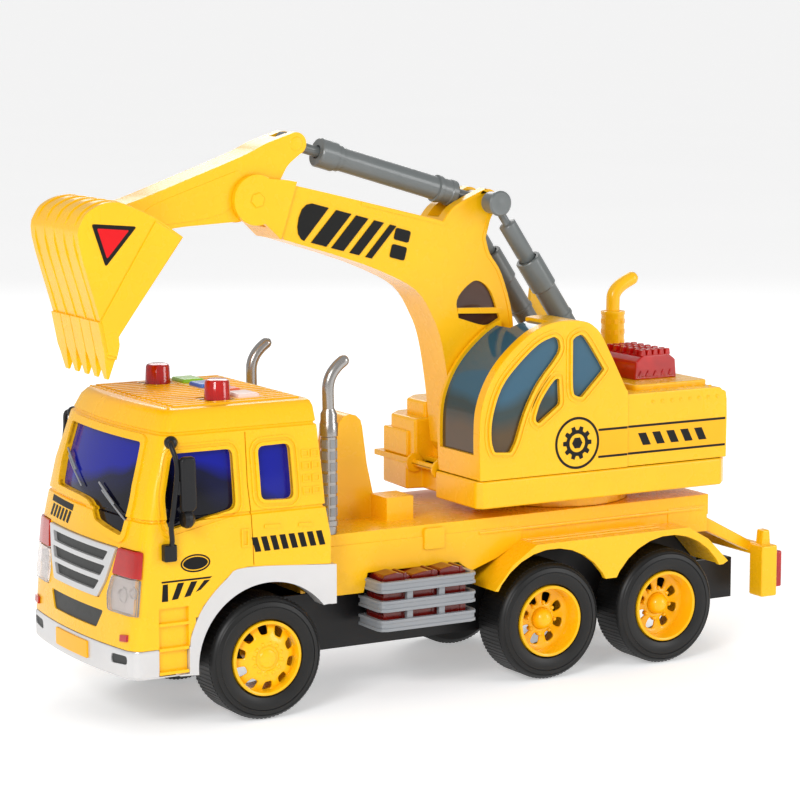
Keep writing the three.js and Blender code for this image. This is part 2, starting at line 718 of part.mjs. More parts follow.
function rackGeometry(side) {
  const slats = rack.levels.map((z) => plateXY(rackHoop(side), z, z + rack.slat));
  const uprightAcross = span(side, rack.outer - 4.2, rack.outer + 0.3);
  const uprights = rack.uprights.map((x) =>
    block(x - 1.6, x + 1.6, ...uprightAcross, rack.levels[0], rackTop + 0.8));
  const wall = block(rack.rear, rack.front, ...span(side, chassisHalfWidth + GAP, rack.inner + 1),
    rack.levels[0], rackTop);
  const load = block(rack.rear + 3, rack.front - 3, ...span(side, rack.inner, rack.outer - 4),
    rack.levels[0] - 1, rackTop + 3);
  return join(...slats, ...uprights, wall, load);
}
for (const [sideName, side] of SIDES) {
  piece(body, `side_rack_${sideName}`, rackGeometry(side), cylinderGrey());
}

const rearBarX = chassisRearX - GAP;
const rearBarHalf = bodyHalfWidth - 5;
const rearPostWidth = 12;
function rearBarGeometry() {
  const bar = block(rearBarX - 6, rearBarX, -rearBarHalf, rearBarHalf, -18, -12);
  const ends = SIDES.map(([, side]) => {
    const across = span(side, rearBarHalf - rearPostWidth, rearBarHalf);
    return join(block(rearBarX - 12, rearBarX + 2, ...across, -38, -12),
      block(rearBarX - 5, rearBarX + 2, ...across, -14, -5));
  });
  const strut = block(rearBarX - 5, rearBarX, -20, 20, -36, -14);
  return join(bar, ...ends, strut);
}
piece(body, 'rear_bar', rearBarGeometry(), glossYellow());
for (const [sideName, side] of SIDES) {
  const across = span(side, rearBarHalf - rearPostWidth + 2, rearBarHalf - 2);
  const lens = block(rearBarX - 16, rearBarX - 12 - GAP, ...across, -34, -16);
  piece(body, `tail_lamp_${sideName}`, lens, redLens());
}

// ---------- turntable ----------
const tableTop = -GAP;
const tableBottom = GAP - houseClearance;
const spigotBottom = deckBottom - deckTop - houseClearance - 1;
const tableRadius = 38;
const turntable = turnedZ([[0, spigotBottom], [pivotRadius, spigotBottom], [pivotRadius, tableBottom],
  [tableRadius, tableBottom], [tableRadius, tableTop], [0, tableTop]], 0, 0, 28);
piece(house, 'turntable', turntable, glossYellow());
const collarTop = spigotBottom - GAP;
piece(house, 'turntable_keeper', turnedZ([[0, collarTop - 3], [pivotRadius + 4, collarTop - 3],
  [pivotRadius + 4, collarTop], [0, collarTop]], 0, 0, 20), darkPlastic());

// ---------- house: base tray, shell, glazing, engine, chimney ----------
const bayBack = 64;
const basePlan = [
  [houseRearX, -houseHalfWidth + 5],
  [houseRearX + 5, -houseHalfWidth],
  [houseFrontX - 12, -houseHalfWidth + 2],
  [houseFrontX - 2, -houseHalfWidth + 8],
  [houseFrontX, bayLow - 2],
  [bayBack, bayLow],
  [bayBack, cabinInnerY - 1],
  [houseFrontX, cabinInnerY - 1],
  [houseFrontX, houseHalfWidth - 3],
  [houseFrontX - 3, houseHalfWidth],
  [houseRearX + 5, houseHalfWidth],
  [houseRearX, houseHalfWidth - 5],
];
const trayRoom = plateXY(offset(basePlan, -WALL), WALL, houseSkirt + 1);
const baseTray = cut(plateXY(basePlan, 0, houseSkirt), trayRoom);
piece(house, 'house_base', baseTray, glossYellow());

const shellFloor = houseSkirt + GAP;
const cabinOutline = [
  [71, shellFloor],
  [71.6, 32.8],
  [70.4, 47.5],
  [64.6, 61],
  [55.1, 72.1],
  [41.3, 81.9],
  [27.4, 85.4],
  [14.5, 84.6],
  [8.1, 81.6],
  [2.8, 75.2],
  [-9.3, 52.6],
  [-11.5, 46],
  [-11.5, shellFloor],
];
const hoodOutline = [
  [hoodRearX, shellFloor],
  [hoodFrontX, shellFloor],
  [hoodFrontX, hoodTop],
  [hoodRearX + 10, hoodTop],
  [hoodRearX + 3, hoodTop - 2],
  [hoodRearX, hoodTop - 6],
];
const rightBlock = { front: 68, low: -46, top: 41.5, step: 34 };
const cabinWindows = {
  large: [[65.5, 32.2], [65, 42.8], [60.1, 56.4], [51.3, 66.4], [40, 75.4], [31.2, 78.6], [28.3, 76.6],
    [28.5, 70.3], [39.9, 57.1], [47.4, 43.6], [51.8, 31], [54.8, 25.7], [63.7, 26.4]],
  small: [[41.7, 40], [38.6, 48.4], [31.6, 57.6], [28.4, 58.5], [27.6, 46.5], [39.7, 37.9]],
  rear: [[20.9, 76.3], [18.3, 78], [13.8, 77], [3.2, 61.6], [3.9, 60.1], [15.4, 48.9], [18.7, 49.7],
    [20.7, 53.6]],
};
const cabinBayX = 38;
const guardOutline = [[-41, hoodTop - 1], [-24, 76], [-9.5, 95], [-6, 96], [-4, 93], [2, hoodTop - 1]];

// The windscreen wraps over the front of the cabin between two side pillars.
function windscreenCutter() {
  return cut(block(30, houseFrontX + 10, cabinInnerY + 5, houseHalfWidth - 6, 26, 95),
    plateXZ(offset(cabinOutline, -WALL - 1.5), cabinInnerY, houseHalfWidth));
}

function shellGeometry() {
  const floorCut = shellFloor - 1;
  const cabinOuter = plateXZ(cabinOutline, cabinInnerY, houseHalfWidth);
  const cabinRoom = plateXZ(offset(cabinOutline, -WALL), cabinInnerY + WALL, houseHalfWidth - WALL);
  const hoodOuter = plateXZ(hoodOutline, -houseHalfWidth + 0.8, houseHalfWidth - 0.8);
  const hoodRoom = plateXZ(offset(hoodOutline, -WALL), -houseHalfWidth + 3, houseHalfWidth - 3);
  const blockPlan = (inset, setBack) => {
    const [front, low, high] = [rightBlock.front - setBack, rightBlock.low + inset, bayLow - 0.5 - inset];
    return [[hoodFrontX - 1, low], [front - 8, low], [front, low + 8], [front, high], [hoodFrontX - 1, high]];
  };
  const blockOuter = join(
    plateXY(blockPlan(0, 0), shellFloor, rightBlock.step),
    plateXY(blockPlan(3, 7), rightBlock.step - 1, rightBlock.top),
  );
  const blockRoom = plateXY(blockPlan(5.5, 9.5), shellFloor + WALL, rightBlock.top - WALL);
  const openings = [[-8, 50, cabinInnerY + 6, houseHalfWidth - 6], [-60, -20, -40, 40],
    [5, 50, -38, bayLow - 8]].map((plan) => block(...plan, floorCut, shellFloor + WALL + 1));
  const bayFloor = block(hoodFrontX - 1, bayBack - 2, bayLow - 2, cabinInnerY + 1, shellFloor,
    shellFloor + WALL);
  const bay = block(hoodFrontX - 2, cabinBayX, 0, cylinderBayY, hoodTop + 0.5, 100);
  const inCabin = (geometry) => common(geometry, plateXZ(cabinOutline, cabinInnerY, houseHalfWidth));
  const ledge = inCabin(block(hoodFrontX - 1, cabinBayX + 1, cabinInnerY, cylinderBayY + 2, hoodTop - 2,
    hoodTop + 0.5));
  const endWall = inCabin(block(cabinBayX - 0.5, cabinBayX + WALL, cabinInnerY, cylinderBayY + 2, hoodTop - 2,
    95));
  const bayWallPlate = inCabin(block(hoodFrontX - 1, cabinBayX + 1, cylinderBayY - 0.5, cylinderBayY + WALL,
    hoodTop - 2, 95));
  const shells = cut(join(cabinOuter, hoodOuter, blockOuter), cabinRoom, hoodRoom, blockRoom, bay);
  const walls = join(shells, bayWallPlate, ledge, endWall, bayFloor);
  const lugOutline = [...arc(liftBase[0], liftBase[1], 5, 0, 180, 8), [liftBase[0] - 5.5, hoodTop - 1],
    [liftBase[0] + 5, hoodTop - 1]];
  const lugHalf = liftOffsetY - eyeHalfWidth - 2.2;
  const lug = plateXZ(lugOutline, -lugHalf, lugHalf);
  const guard = plateXZ(guardOutline, -cylinderBayY - WALL, -cylinderBayY);
  const footOutline = [...arc(...boomPivot, 6.5, 0, 180, 8), [boomPivot[0] - 8, shellFloor + 0.5],
    [boomPivot[0] + 8, shellFloor + 0.5]];
  const rightFoot = plateXZ(footOutline, bayLow - 1, -boomHalfWidth - GAP);
  const trunnion = barY(liftBase[0], liftBase[1], pinRadius, -liftOffsetY - 4, liftOffsetY + 4, 14);
  const pinBore = barY(...boomPivot, boomPinRadius + RUNNING, bayLow - 6, cabinInnerY + 8, 14);
  const windows = Object.values(cabinWindows).map((points) =>
    plateXZ(points, houseHalfWidth - 5, houseHalfWidth + 5));
  return cut(join(walls, lug, trunnion, guard, rightFoot), ...openings, pinBore, ...windows,
    windscreenCutter());
}
piece(house, 'house_shell', shellGeometry(), glossYellow());

function cabinGlazingGeometry() {
  const foot = shellFloor + 8.7;
  const band = offset(cabinOutline, -WALL - GAP).map(([x, z]) => [x, Math.max(z, foot)]);
  const [low, high] = [cylinderBayY + WALL + GAP, houseHalfWidth - WALL - GAP];
  const outer = plateXZ(band, low, high);
  const inner = plateXZ(offset(band, -paneThickness), low + paneThickness, high - paneThickness);
  const floorHole = block(0, 60, low + 3.5, high - 3.5, foot - 4, foot + 4);
  return cut(outer, inner, floorHole);
}
piece(house, 'cabin_glazing', cabinGlazingGeometry(), smokedGlass());

const engineFoot = hoodTop + GAP;
const engineOutline = [[-61, engineFoot], [-32, engineFoot], [-32, 60], [-36, 66], [-55, 66], [-61, 58]];
piece(house, 'engine_block', plateXZ(engineOutline, -6, 26), redLens());

const chimneyY = -20;
const chimney = join(
  turnedZ([[0, engineFoot], [6, engineFoot], [6, 79], [0, 79]], -50, chimneyY, 16),
  tubeAlong([[-50, chimneyY, 76], [-50, chimneyY, 84], [-51, chimneyY, 89], [-55.5, chimneyY, 93],
    [-61.5, chimneyY, 95.5]], 3.4, 8, 8),
);
piece(house, 'chimney', chimney, glossYellow());

// ---------- boom ----------
const cheekHalfWidth = boomHalfWidth + collarRise;
const lugRadius = 6.2;
const armEyeHalfWidth = 4.7;
const fromTip = ([x, z]) => [boomTip[0] + x, boomTip[1] + z];
const boomOutline = [
  [-16, 14],
  ...arc(0, 0, pivotRadius, 180, 350, 8),
  [14.5, 22],
  [18.4, 44.6],
  [23.3, 57.7],
  [32.8, 71.4],
  [52, 81.3],
  [73, 88.9],
  [102.1, 97.9],
  fromTip([-8, -9]),
  fromTip([-12, 6]),
  [95.8, 122.2],
  [30.5, 106.2],
  [18.3, 103],
  [11.4, 110],
  ...arc(boomLug[0], boomLug[1], lugRadius, 70, 230, 7),
  [-8, 102.5],
  [-5.6, 94],
  [-8, 86.5],
  [-14.5, 76.7],
  [-20.6, 56.8],
  [-21, 36],
];
const collarOutline = [
  [104.2, 98],
  ...arc(boomTip[0], boomTip[1], heelRadius + 1.6, -110, 125, 12),
  [101.9, 125.2],
  [95.8, 124.1],
];
const boomWindow = [[10.3, 65.3], [4.5, 72], [-1.5, 74], [-8.5, 68.5], [-13.6, 55.5], [-5.6, 52.5],
  [9.3, 56.8]];

function boomGeometry() {
  const beam = plateXZ(boomOutline, -boomHalfWidth, boomHalfWidth);
  const collar = plateXZ(collarOutline, -cheekHalfWidth, cheekHalfWidth);
  const slotHalf = stickHalfWidth + eyeGap;
  const heelSlot = plateXZ(disc(boomTip[0], boomTip[1], heelRadius + 0.6, 28), -slotHalf, slotHalf);
  const mouth = [[-27, 3.6], [-19.5, 0.6], [-9.5, -4], [-4, -17], [40, -30], [40, 40], [-27, 40]];
  const fork = plateXZ(mouth.map(fromTip), -slotHalf, slotHalf);
  const lugSlotHalf = armEyeHalfWidth + eyeGap;
  const lugSlot = plateXZ([[-16, 104.4], [22, 104.4], [22, 130], [-16, 130]], -lugSlotHalf, lugSlotHalf);
  const windowDepth = 3;
  const pockets = SIDES.map(([, side]) =>
    plateXZ(boomWindow, ...span(side, boomHalfWidth - windowDepth, boomHalfWidth + 1)));
  const reach = cheekHalfWidth + 1;
  const bores = [
    barY(0, 0, boomPinRadius + RUNNING, -reach, reach),
    barY(...boomLug, pinRadius + RUNNING, -reach, reach),
    barY(...boomTip, boomPinRadius + RUNNING, -reach, reach),
  ];
  return cut(join(beam, collar), heelSlot, fork, lugSlot, ...pockets, ...bores);
}
piece(boomGroup, 'boom', boomGeometry(), glossYellow());

const pinHead = { radius: 6, thickness: 1.4 };
const lugPinEnd = liftOffsetY + eyeHalfWidth + eyeGap;
const pinHeads = SIDES.map(([, side]) =>
  barY(...boomLug, pinHead.radius, ...span(side, lugPinEnd, lugPinEnd + pinHead.thickness), 20));
const lugPin = join(barY(...boomLug, pinRadius, -lugPinEnd - 0.5, lugPinEnd + 0.5), ...pinHeads);
piece(boomGroup, 'lug_pin', lugPin, cylinderGrey());
const stickPinEnd = cheekHalfWidth - 0.2;
piece(boomGroup, 'stick_pin', barY(...boomTip, boomPinRadius, -stickPinEnd, stickPinEnd), steel());
piece(house, 'boom_pin', barY(...boomPivot, boomPinRadius, bayLow - 1, cabinInnerY + WALL - GAP), steel());

// ---------- stick ----------
const stickOutline = [
  ...arc(0, 0, heelRadius, 170, 290, 8),
  [14.9, -9.9],
  [39.8, -11.2],
  [52, -14.5],
  ...arc(bucketPivot[0], bucketPivot[1], 8.6, -100, 62, 9),
  [52, 3.8],
  [7.3, 19.3],
  [-6, 25],
  ...arc(stickEar[0], stickEar[1], stickEarRadius, 70, 250, 8),
  [-17.6, 15.2],
  [-14.6, 10.6],
];
const tongueHalf = 3.1;
const earSlotHalf = tongueHalf + eyeGap;
const bucketLugWidth = 3.1;
const earPinRadius = 1.4;

function stickGeometry() {
  const beam = plateXZ(stickOutline, -stickHalfWidth, stickHalfWidth);
  const earSlot = plateXZ(disc(...stickEar, stickEarRadius + 3, 20), -earSlotHalf, earSlotHalf);
  const bore = barY(0, 0, boomPinRadius + RUNNING, -stickHalfWidth - 1, stickHalfWidth + 1);
  const earPin = barY(...stickEar, earPinRadius, -earSlotHalf - 1, earSlotHalf + 1, 12);
  const trunnionEnd = stickHalfWidth + eyeGap + bucketLugWidth - 0.4;
  const trunnion = barY(...bucketPivot, pinRadius, -trunnionEnd, trunnionEnd, 14);
  return join(cut(beam, earSlot, bore), earPin, trunnion);
}
piece(stickGroup, 'stick', stickGeometry(), glossYellow());

// ---------- bucket ----------
const bucketOutline = [
  [-20, -5.2],
  [11.6, -47.5],
  [11.2, -51],
  [12.8, -57.5],
  [17, -56.5],
  [20.3, -40.2],
  [29.9, -6.4],
  [28, 4.3],
  [22.1, 9.5],
  [13.6, 11.5],
  [6, 9.6],
  [-6.7, 3.7],
];
const bucketRoom = [
  [-35, -20],
  [-35, -70],
  [9.5, -57],
  [13.4, -51.5],
  [15.6, -48],
  [17.9, -40],
  [27.4, -6.5],
  [25.8, 3],
  [21.2, 7],
  [13.6, 9.1],
  [10, 8.6],
  [10, 25],
  [-35, 25],
];
const toothCount = 5;
const toothWidth = 5;
const toothOutline = [[12, -55], [15.2, -66.3], [17.2, -55.5], [17.6, -50], [13, -51]];

function bucketGeometry() {
  const outer = plateXZ(bucketOutline, -bucketHalfWidth, bucketHalfWidth);
  const room = plateXZ(bucketRoom, -bucketHalfWidth + bucketWall, bucketHalfWidth - bucketWall);
  const lugOutline = [...arc(0, 0, 4.6, 150, 300, 7), [12, -1], [19, 6], [15, 10.2], [8, 10.2]];
  const lugInner = stickHalfWidth + eyeGap;
  const lugOuter = lugInner + bucketLugWidth;
  const bore = barY(0, 0, pinRadius + RUNNING, -lugOuter - 1, lugOuter + 1, 14);
  const lugs = SIDES.map(([, side]) => cut(plateXZ(lugOutline, ...span(side, lugInner, lugOuter)), bore));
  const pitch = (2 * bucketHalfWidth - 3.2 - toothWidth) / (toothCount - 1);
  const teeth = Array.from({ length: toothCount }, (_, i) => {
    const y = (i - (toothCount - 1) / 2) * pitch;
    return plateXZ(toothOutline, y - toothWidth / 2, y + toothWidth / 2);
  });
  return join(cut(outer, room), ...lugs, ...teeth);
}
piece(bucketGroup, 'bucket', bucketGeometry(), glossYellow());

// ---------- hydraulic cylinders ----------
// Each one lies along a line between two pins; distances run along that line from the pin at the boom's lug.
function eyePlate(centre, radius, bore, y, halfWidth) {
  const hole = disc(...centre, bore, 10).reverse();
  return plateXZ(disc(...centre, radius, 14), y - halfWidth, y + halfWidth, [hole]);
}

const liftBaseFromBoom = [liftBase[0] - boomPivot[0], liftBase[1] - boomPivot[1]];
const liftLine = [liftBaseFromBoom[0] - boomLug[0], liftBaseFromBoom[1] - boomLug[1]];
const liftLength = Math.hypot(...liftLine);
const looseEye = 1.1;
const eyeRadius = pinRadius + 3.2;

// The rod hangs from the lug and slides in the barrel, whose eye sits on the house's trunnion.
for (const [sideName, side] of SIDES) {
  const y = side * liftOffsetY;
  const bore = liftRodRadius + rodBoreClearance;
  const neck = 1.9;
  const rodProfile = [[0, 3.6], [neck, 3.6], [neck, 12], [liftRodRadius, 12.8],
    [liftRodRadius, liftRodLength], [0, liftRodLength]];
  const rod = turnedAlong(rodProfile, boomLug, liftLine, y, 14);
  piece(boomGroup, `lift_rod_${sideName}`,
    join(rod, eyePlate(boomLug, eyeRadius, pinRadius + RUNNING, y, eyeHalfWidth)), cylinderGrey());
  const barrelFoot = liftLength - 8;
  const barrelProfile = [
    [bore, liftBarrelStart],
    [liftBarrelRadius, liftBarrelStart],
    [liftBarrelRadius, barrelFoot],
    [3.4, barrelFoot + 1.5],
    [3.4, liftLength - 4],
    [0, liftLength - 4],
    [0, barrelFoot - 3],
    [bore, barrelFoot - 3],
    [bore, liftBarrelStart],
  ];
  const barrel = turnedAlong(barrelProfile, boomLug, liftLine, y, 14);
  piece(boomGroup, `lift_barrel_${sideName}`,
    join(barrel, eyePlate(liftBaseFromBoom, eyeRadius, pinRadius + RUNNING + looseEye, y, eyeHalfWidth)),
    cylinderGrey());
}

const earFromBoom = fromTip(stickEar);
const armLine = [earFromBoom[0] - boomLug[0], earFromBoom[1] - boomLug[1]];
const armLength = Math.hypot(...armLine);
const armBore = armRodRadius + rodBoreClearance;
const armCapRadius = armBarrelRadius + 1.5;
const armBoreFoot = 24;
// The rod slides in by 9.4 mm at the stick's lowest pose, so it starts clear of the bore's foot.
const armRodStart = armBoreFoot + 10;
const armBarrelProfile = [
  [0, 3.4],
  [2.6, 3.4],
  [2.6, 14.5],
  [armCapRadius - 0.6, 15],
  [armCapRadius - 0.6, 25],
  [armBarrelRadius, 25.5],
  [armBarrelRadius, armBarrelLength - 13],
  [armCapRadius, armBarrelLength - 12.5],
  [armCapRadius, armBarrelLength],
  [armBore, armBarrelLength],
  [armBore, armBoreFoot],
  [0, armBoreFoot],
];
const armBarrel = turnedAlong(armBarrelProfile, boomLug, armLine, 0, 14);
const armEye = eyePlate(boomLug, eyeRadius - 0.3, pinRadius + RUNNING, 0, armEyeHalfWidth);
piece(boomGroup, 'arm_barrel', join(armBarrel, armEye), cylinderGrey());

function armRodGeometry() {
  const rodEnd = armLength - 3.6;
  const rodProfile = [
    [0, armRodStart], [armRodRadius, armRodStart], [armRodRadius, rodEnd], [0, rodEnd],
  ];
  const rod = turnedAlong(rodProfile, boomLug, armLine, 0, 12);
  const along = new THREE.Vector2(...armLine).normalize();
  const across = new THREE.Vector2(-along.y, along.x);
  const place = ([s, t]) =>
    [earFromBoom[0] + s * along.x + t * across.x, earFromBoom[1] + s * along.y + t * across.y];
  const tongue = [[-6, -4.4], [3.4, -4.4], [5, -2], [5, 2], [3.4, 4.4], [-6, 4.4]].map(place);
  const slot = [[-3.6, -2.6], [2.9, -2.6], [2.9, 2.6], [-3.6, 2.6]].map(place);
  const hole = plateXZ(slot, -tongueHalf - 1, tongueHalf + 1);
  return join(rod, cut(plateXZ(tongue, -tongueHalf, tongueHalf), hole));
}
piece(boomGroup, 'arm_rod', armRodGeometry(), cylinderGrey());

export default excavator;
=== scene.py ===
# %% [markdown]
# # A toy excavator on a toy truck
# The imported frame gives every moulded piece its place. This script gives each piece its final surface:
# rounded edges, window frames, lamps, rims with holes, printed stripes and plastics that look moulded.

import json
import math

import bmesh
import bpy
from mathutils import Matrix, Vector


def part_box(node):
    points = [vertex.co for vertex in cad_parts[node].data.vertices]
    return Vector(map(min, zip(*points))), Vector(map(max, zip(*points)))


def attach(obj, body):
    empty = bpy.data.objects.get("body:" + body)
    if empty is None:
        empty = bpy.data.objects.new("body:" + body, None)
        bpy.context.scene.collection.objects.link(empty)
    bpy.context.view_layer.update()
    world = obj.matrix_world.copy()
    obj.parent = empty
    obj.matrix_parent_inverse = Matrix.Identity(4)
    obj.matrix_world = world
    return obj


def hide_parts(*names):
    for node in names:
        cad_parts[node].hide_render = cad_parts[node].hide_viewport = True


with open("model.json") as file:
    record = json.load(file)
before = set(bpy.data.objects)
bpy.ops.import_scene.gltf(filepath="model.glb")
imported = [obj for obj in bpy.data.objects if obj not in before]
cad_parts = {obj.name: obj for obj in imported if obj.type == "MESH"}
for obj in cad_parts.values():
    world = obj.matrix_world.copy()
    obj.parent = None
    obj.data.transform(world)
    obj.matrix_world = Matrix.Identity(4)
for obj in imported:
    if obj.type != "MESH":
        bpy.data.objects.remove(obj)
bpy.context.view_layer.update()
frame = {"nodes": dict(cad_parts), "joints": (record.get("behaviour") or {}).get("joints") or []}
MM = 0.001
joints = {joint["name"]: joint for joint in frame["joints"]}

# %% [markdown]
# The camera stands to the left of the truck's nose and a little above it, with a long lens, so that
# upright edges stay upright. Its place is one point, and `to_track_quat` turns it from one direction,
# which is easier to read than three angles. Three soft area lights and a pale world stand in for a
# studio tent: moulded plastic needs large lights, because it mirrors small ones as hard spots.

# %% Camera and light
camera_data = bpy.data.cameras.new("camera")
camera_data.lens = 129.11
camera_data.sensor_width = 36.0
camera_data.clip_end = 600.0
camera = bpy.data.objects.new("camera", camera_data)
camera.location = (0.6836, 1.1590, 0.3240)
view_back = Vector((0.49838, 0.85510, 0.14294))
camera.rotation_euler = view_back.to_track_quat("Z", "Y").to_euler()
bpy.context.scene.collection.objects.link(camera)
bpy.context.scene.camera = camera
bpy.context.scene.view_settings.view_transform = "Standard"


def area_light(name, place, aim, size, power, colour=(1, 1, 1)):
    data = bpy.data.lights.new(name, "AREA")
    data.size = size
    data.energy = power
    data.color = colour
    light = bpy.data.objects.new(name, data)
    light.location = place
    light.rotation_euler = (Vector(place) - Vector(aim)).to_track_quat("Z", "Y").to_euler()
    bpy.context.scene.collection.objects.link(light)


middle = (0.0, 0.0, 0.10)
area_light("key", (1.1, 0.9, 0.8), middle, 0.5, 11)
area_light("side", (-1.2, 1.3, 0.6), middle, 0.7, 9)
area_light("rim", (-0.6, -1.2, 0.9), middle, 0.7, 5)
world = bpy.data.worlds.new("studio")
world.use_nodes = True
world.node_tree.nodes["Background"].inputs["Color"].default_value = (1.0, 1.0, 1.0, 1)
world.node_tree.nodes["Background"].inputs["Strength"].default_value = 0.56
bpy.context.scene.world = world
print("camera", tuple(round(v, 3) for v in camera.location), "lens", round(camera_data.lens, 1), "mm")


# %% [markdown]
# Shader maths is written as Python sums. `Flow` wraps one socket: an operator adds a Math node, and `node`
# adds any other node, with its settings made first and its inputs linked or set after.

# %% The socket wrapper
class Flow:
    def __init__(self, tree, socket=None):
        self.tree = tree
        self.socket = socket

    def node(self, kind, settings=None, inputs=None, out=0):
        made = self.tree.nodes.new("ShaderNode" + kind)
        for key, value in (settings or {}).items():
            if key == "stops":
                ramp = made.color_ramp.elements
                while len(ramp) < len(value):
                    ramp.new(0.5)
                for stop, (place, shade) in zip(ramp, value):
                    stop.position = place
                    stop.color = (shade, shade, shade, 1)
            else:
                setattr(made, key, value)
        for key, value in (inputs or {}).items():
            if isinstance(value, Flow):
                self.tree.links.new(value.socket, made.inputs[key])
            else:
                made.inputs[key].default_value = value
        return Flow(self.tree, made.outputs[out] if len(made.outputs) else None)

    def math(self, operation, first, second=0.0):
        return self.node("Math", {"operation": operation}, {0: first, 1: second})

    def __add__(self, other):
        return self.math("ADD", self, other)

    __radd__ = __add__

    def __sub__(self, other):
        return self.math("SUBTRACT", self, other)

    def __rsub__(self, other):
        return self.math("SUBTRACT", other, self)

    def __mul__(self, other):
        return self.math("MULTIPLY", self, other)

    __rmul__ = __mul__

    def mix(self, low, high):
        """A colour between two, with this value as the share of the second."""
        inputs = {0: self, 6: low, 7: high}
        return self.node("Mix", {"data_type": "RGBA"}, inputs, out=2)


def new_material(name):
    made = bpy.data.materials.new(name)
    made.use_nodes = True
    made.node_tree.nodes.clear()
    return made, Flow(made.node_tree)


def surface(flow, inputs):
    """Closes a material with one Principled shader."""
    shader = flow.node("BsdfPrincipled", inputs=inputs)
    flow.node("OutputMaterial", inputs={"Surface": shader})


print("a socket adds, takes away and multiplies on either side of a number")


# %% [markdown]
# Nearly everything here is moulded plastic. Close up, its colour drifts a little where the melt flowed,
# its gloss is broken by faint rub marks, and its skin has a very fine orange peel. One function makes
# all of these, and each finish only sets how strong they are.

# %% Moulded plastics
def plastic(name, colour, shade, roughness, peel=0.05, coat=0.0, rub=0.08, metallic=0.0, shine=0.5):
    made, flow = new_material(name)
    place = flow.node("TexCoord", out="Object")
    cloud = flow.node("TexNoise", inputs={"Vector": place, "Scale": 26.0, "Detail": 3.0})
    fine = flow.node("TexNoise", inputs={"Vector": place, "Scale": 1400.0, "Detail": 2.0})
    marks = flow.node("TexNoise", inputs={"Vector": place, "Scale": 210.0, "Detail": 5.0})
    rubbed = flow.node("ValToRGB", {"stops": [(0.55, 0.0), (0.75, 1.0)]}, {"Fac": marks})
    base = (cloud * 1.6 - 0.3).mix((*colour, 1), (*shade, 1))
    gloss = roughness + cloud * 0.06 + rubbed * rub
    normal = flow.node("Bump", inputs={"Strength": peel, "Distance": 0.0002, "Height": fine})
    surface(flow, {"Base Color": base, "Roughness": gloss, "Normal": normal, "Metallic": metallic,
                   "Coat Weight": coat, "Coat Roughness": 0.06, "Specular IOR Level": shine})
    return made


yellow = plastic("yellow_gloss", (0.96, 0.53, 0.004), (0.92, 0.47, 0.003), 0.24, 0.04, 0.12, shine=0.35)
silver = plastic("silver_paint", (0.66, 0.65, 0.65), (0.56, 0.56, 0.56), 0.27, 0.10, 0.2, 0.06, 0.40)
black = plastic("black_satin", (0.007, 0.007, 0.008), (0.012, 0.012, 0.013), 0.33, 0.12, shine=0.3)
grille_dark = plastic("grille_dark", (0.030, 0.031, 0.030), (0.045, 0.046, 0.045), 0.45, 0.2, shine=0.3)
chrome = plastic("exhaust_paint", (0.40, 0.385, 0.37), (0.30, 0.285, 0.27), 0.22, 0.06, 0.2, 0.05, 0.85)
grey = plastic("cylinder_grey", (0.11, 0.125, 0.125), (0.15, 0.16, 0.16), 0.30, 0.08, 0.2)
rack_grey = plastic("rack_grey", (0.22, 0.24, 0.26), (0.29, 0.30, 0.32), 0.32, 0.08, 0.1)
print_black = plastic("print_black", (0.003, 0.003, 0.003), (0.006, 0.006, 0.005), 0.4, 0.02, shine=0.2)
print_amber = plastic("print_amber", (0.95, 0.47, 0.004), (0.92, 0.42, 0.003), 0.3, 0.02, shine=0.3)
print_red = plastic("print_red", (0.72, 0.006, 0.010), (0.66, 0.004, 0.008), 0.35, 0.02, shine=0.2)
motor_white = plastic("motor_white", (0.62, 0.61, 0.56), (0.50, 0.49, 0.45), 0.5, 0.1)
board_green = plastic("board_green", (0.02, 0.16, 0.05), (0.04, 0.22, 0.08), 0.45, 0.1)
button_colours = {
    "green": ((0.30, 0.66, 0.02), (0.24, 0.58, 0.01)),
    "blue": ((0.05, 0.17, 0.62), (0.03, 0.12, 0.52)),
    "orange": ((0.86, 0.17, 0.05), (0.80, 0.12, 0.03)),
    "blank": ((0.93, 0.72, 0.66), (0.90, 0.64, 0.56)),
}
button_paints = {name: plastic("button_" + name, *pair, 0.25, 0.03, 0.4)
                 for name, pair in button_colours.items()}
print("plastics", len(bpy.data.materials))


# %% [markdown]
# Tyres are soft vinyl: darker and rougher than the plastic, greyer where hands have dusted them.
# Steel pins carry fine turning marks round their axis.

# %% Rubber and steel
def rubber(name):
    made, flow = new_material(name)
    place = flow.node("TexCoord", out="Object")
    dust = flow.node("TexNoise", inputs={"Vector": place, "Scale": 60.0, "Detail": 5.0})
    grain = flow.node("TexNoise", inputs={"Vector": place, "Scale": 2200.0, "Detail": 2.0})
    base = (dust * 1.4 - 0.35).mix((0.004, 0.004, 0.004, 1), (0.011, 0.011, 0.011, 1))
    normal = flow.node("Bump", inputs={"Strength": 0.2, "Distance": 0.0002, "Height": grain})
    surface(flow, {"Base Color": base, "Roughness": 0.34 + dust * 0.16, "Normal": normal,
                   "Specular IOR Level": 0.35})
    return made


def turned_steel(name):
    made, flow = new_material(name)
    place = flow.node("TexCoord", out="Object")
    marks = flow.node("Mapping", inputs={"Vector": place, "Scale": (20.0, 3000.0, 20.0)})
    lines = flow.node("TexNoise", inputs={"Vector": marks, "Scale": 1.0, "Detail": 3.0})
    base = lines.mix((0.46, 0.46, 0.47, 1), (0.66, 0.66, 0.67, 1))
    surface(flow, {"Base Color": base, "Metallic": 1.0, "Roughness": 0.22 + lines * 0.16})
    return made


tyre_rubber = rubber("tyre_rubber")
steel = turned_steel("pin_steel")
print("made", tyre_rubber.name, "and", steel.name)


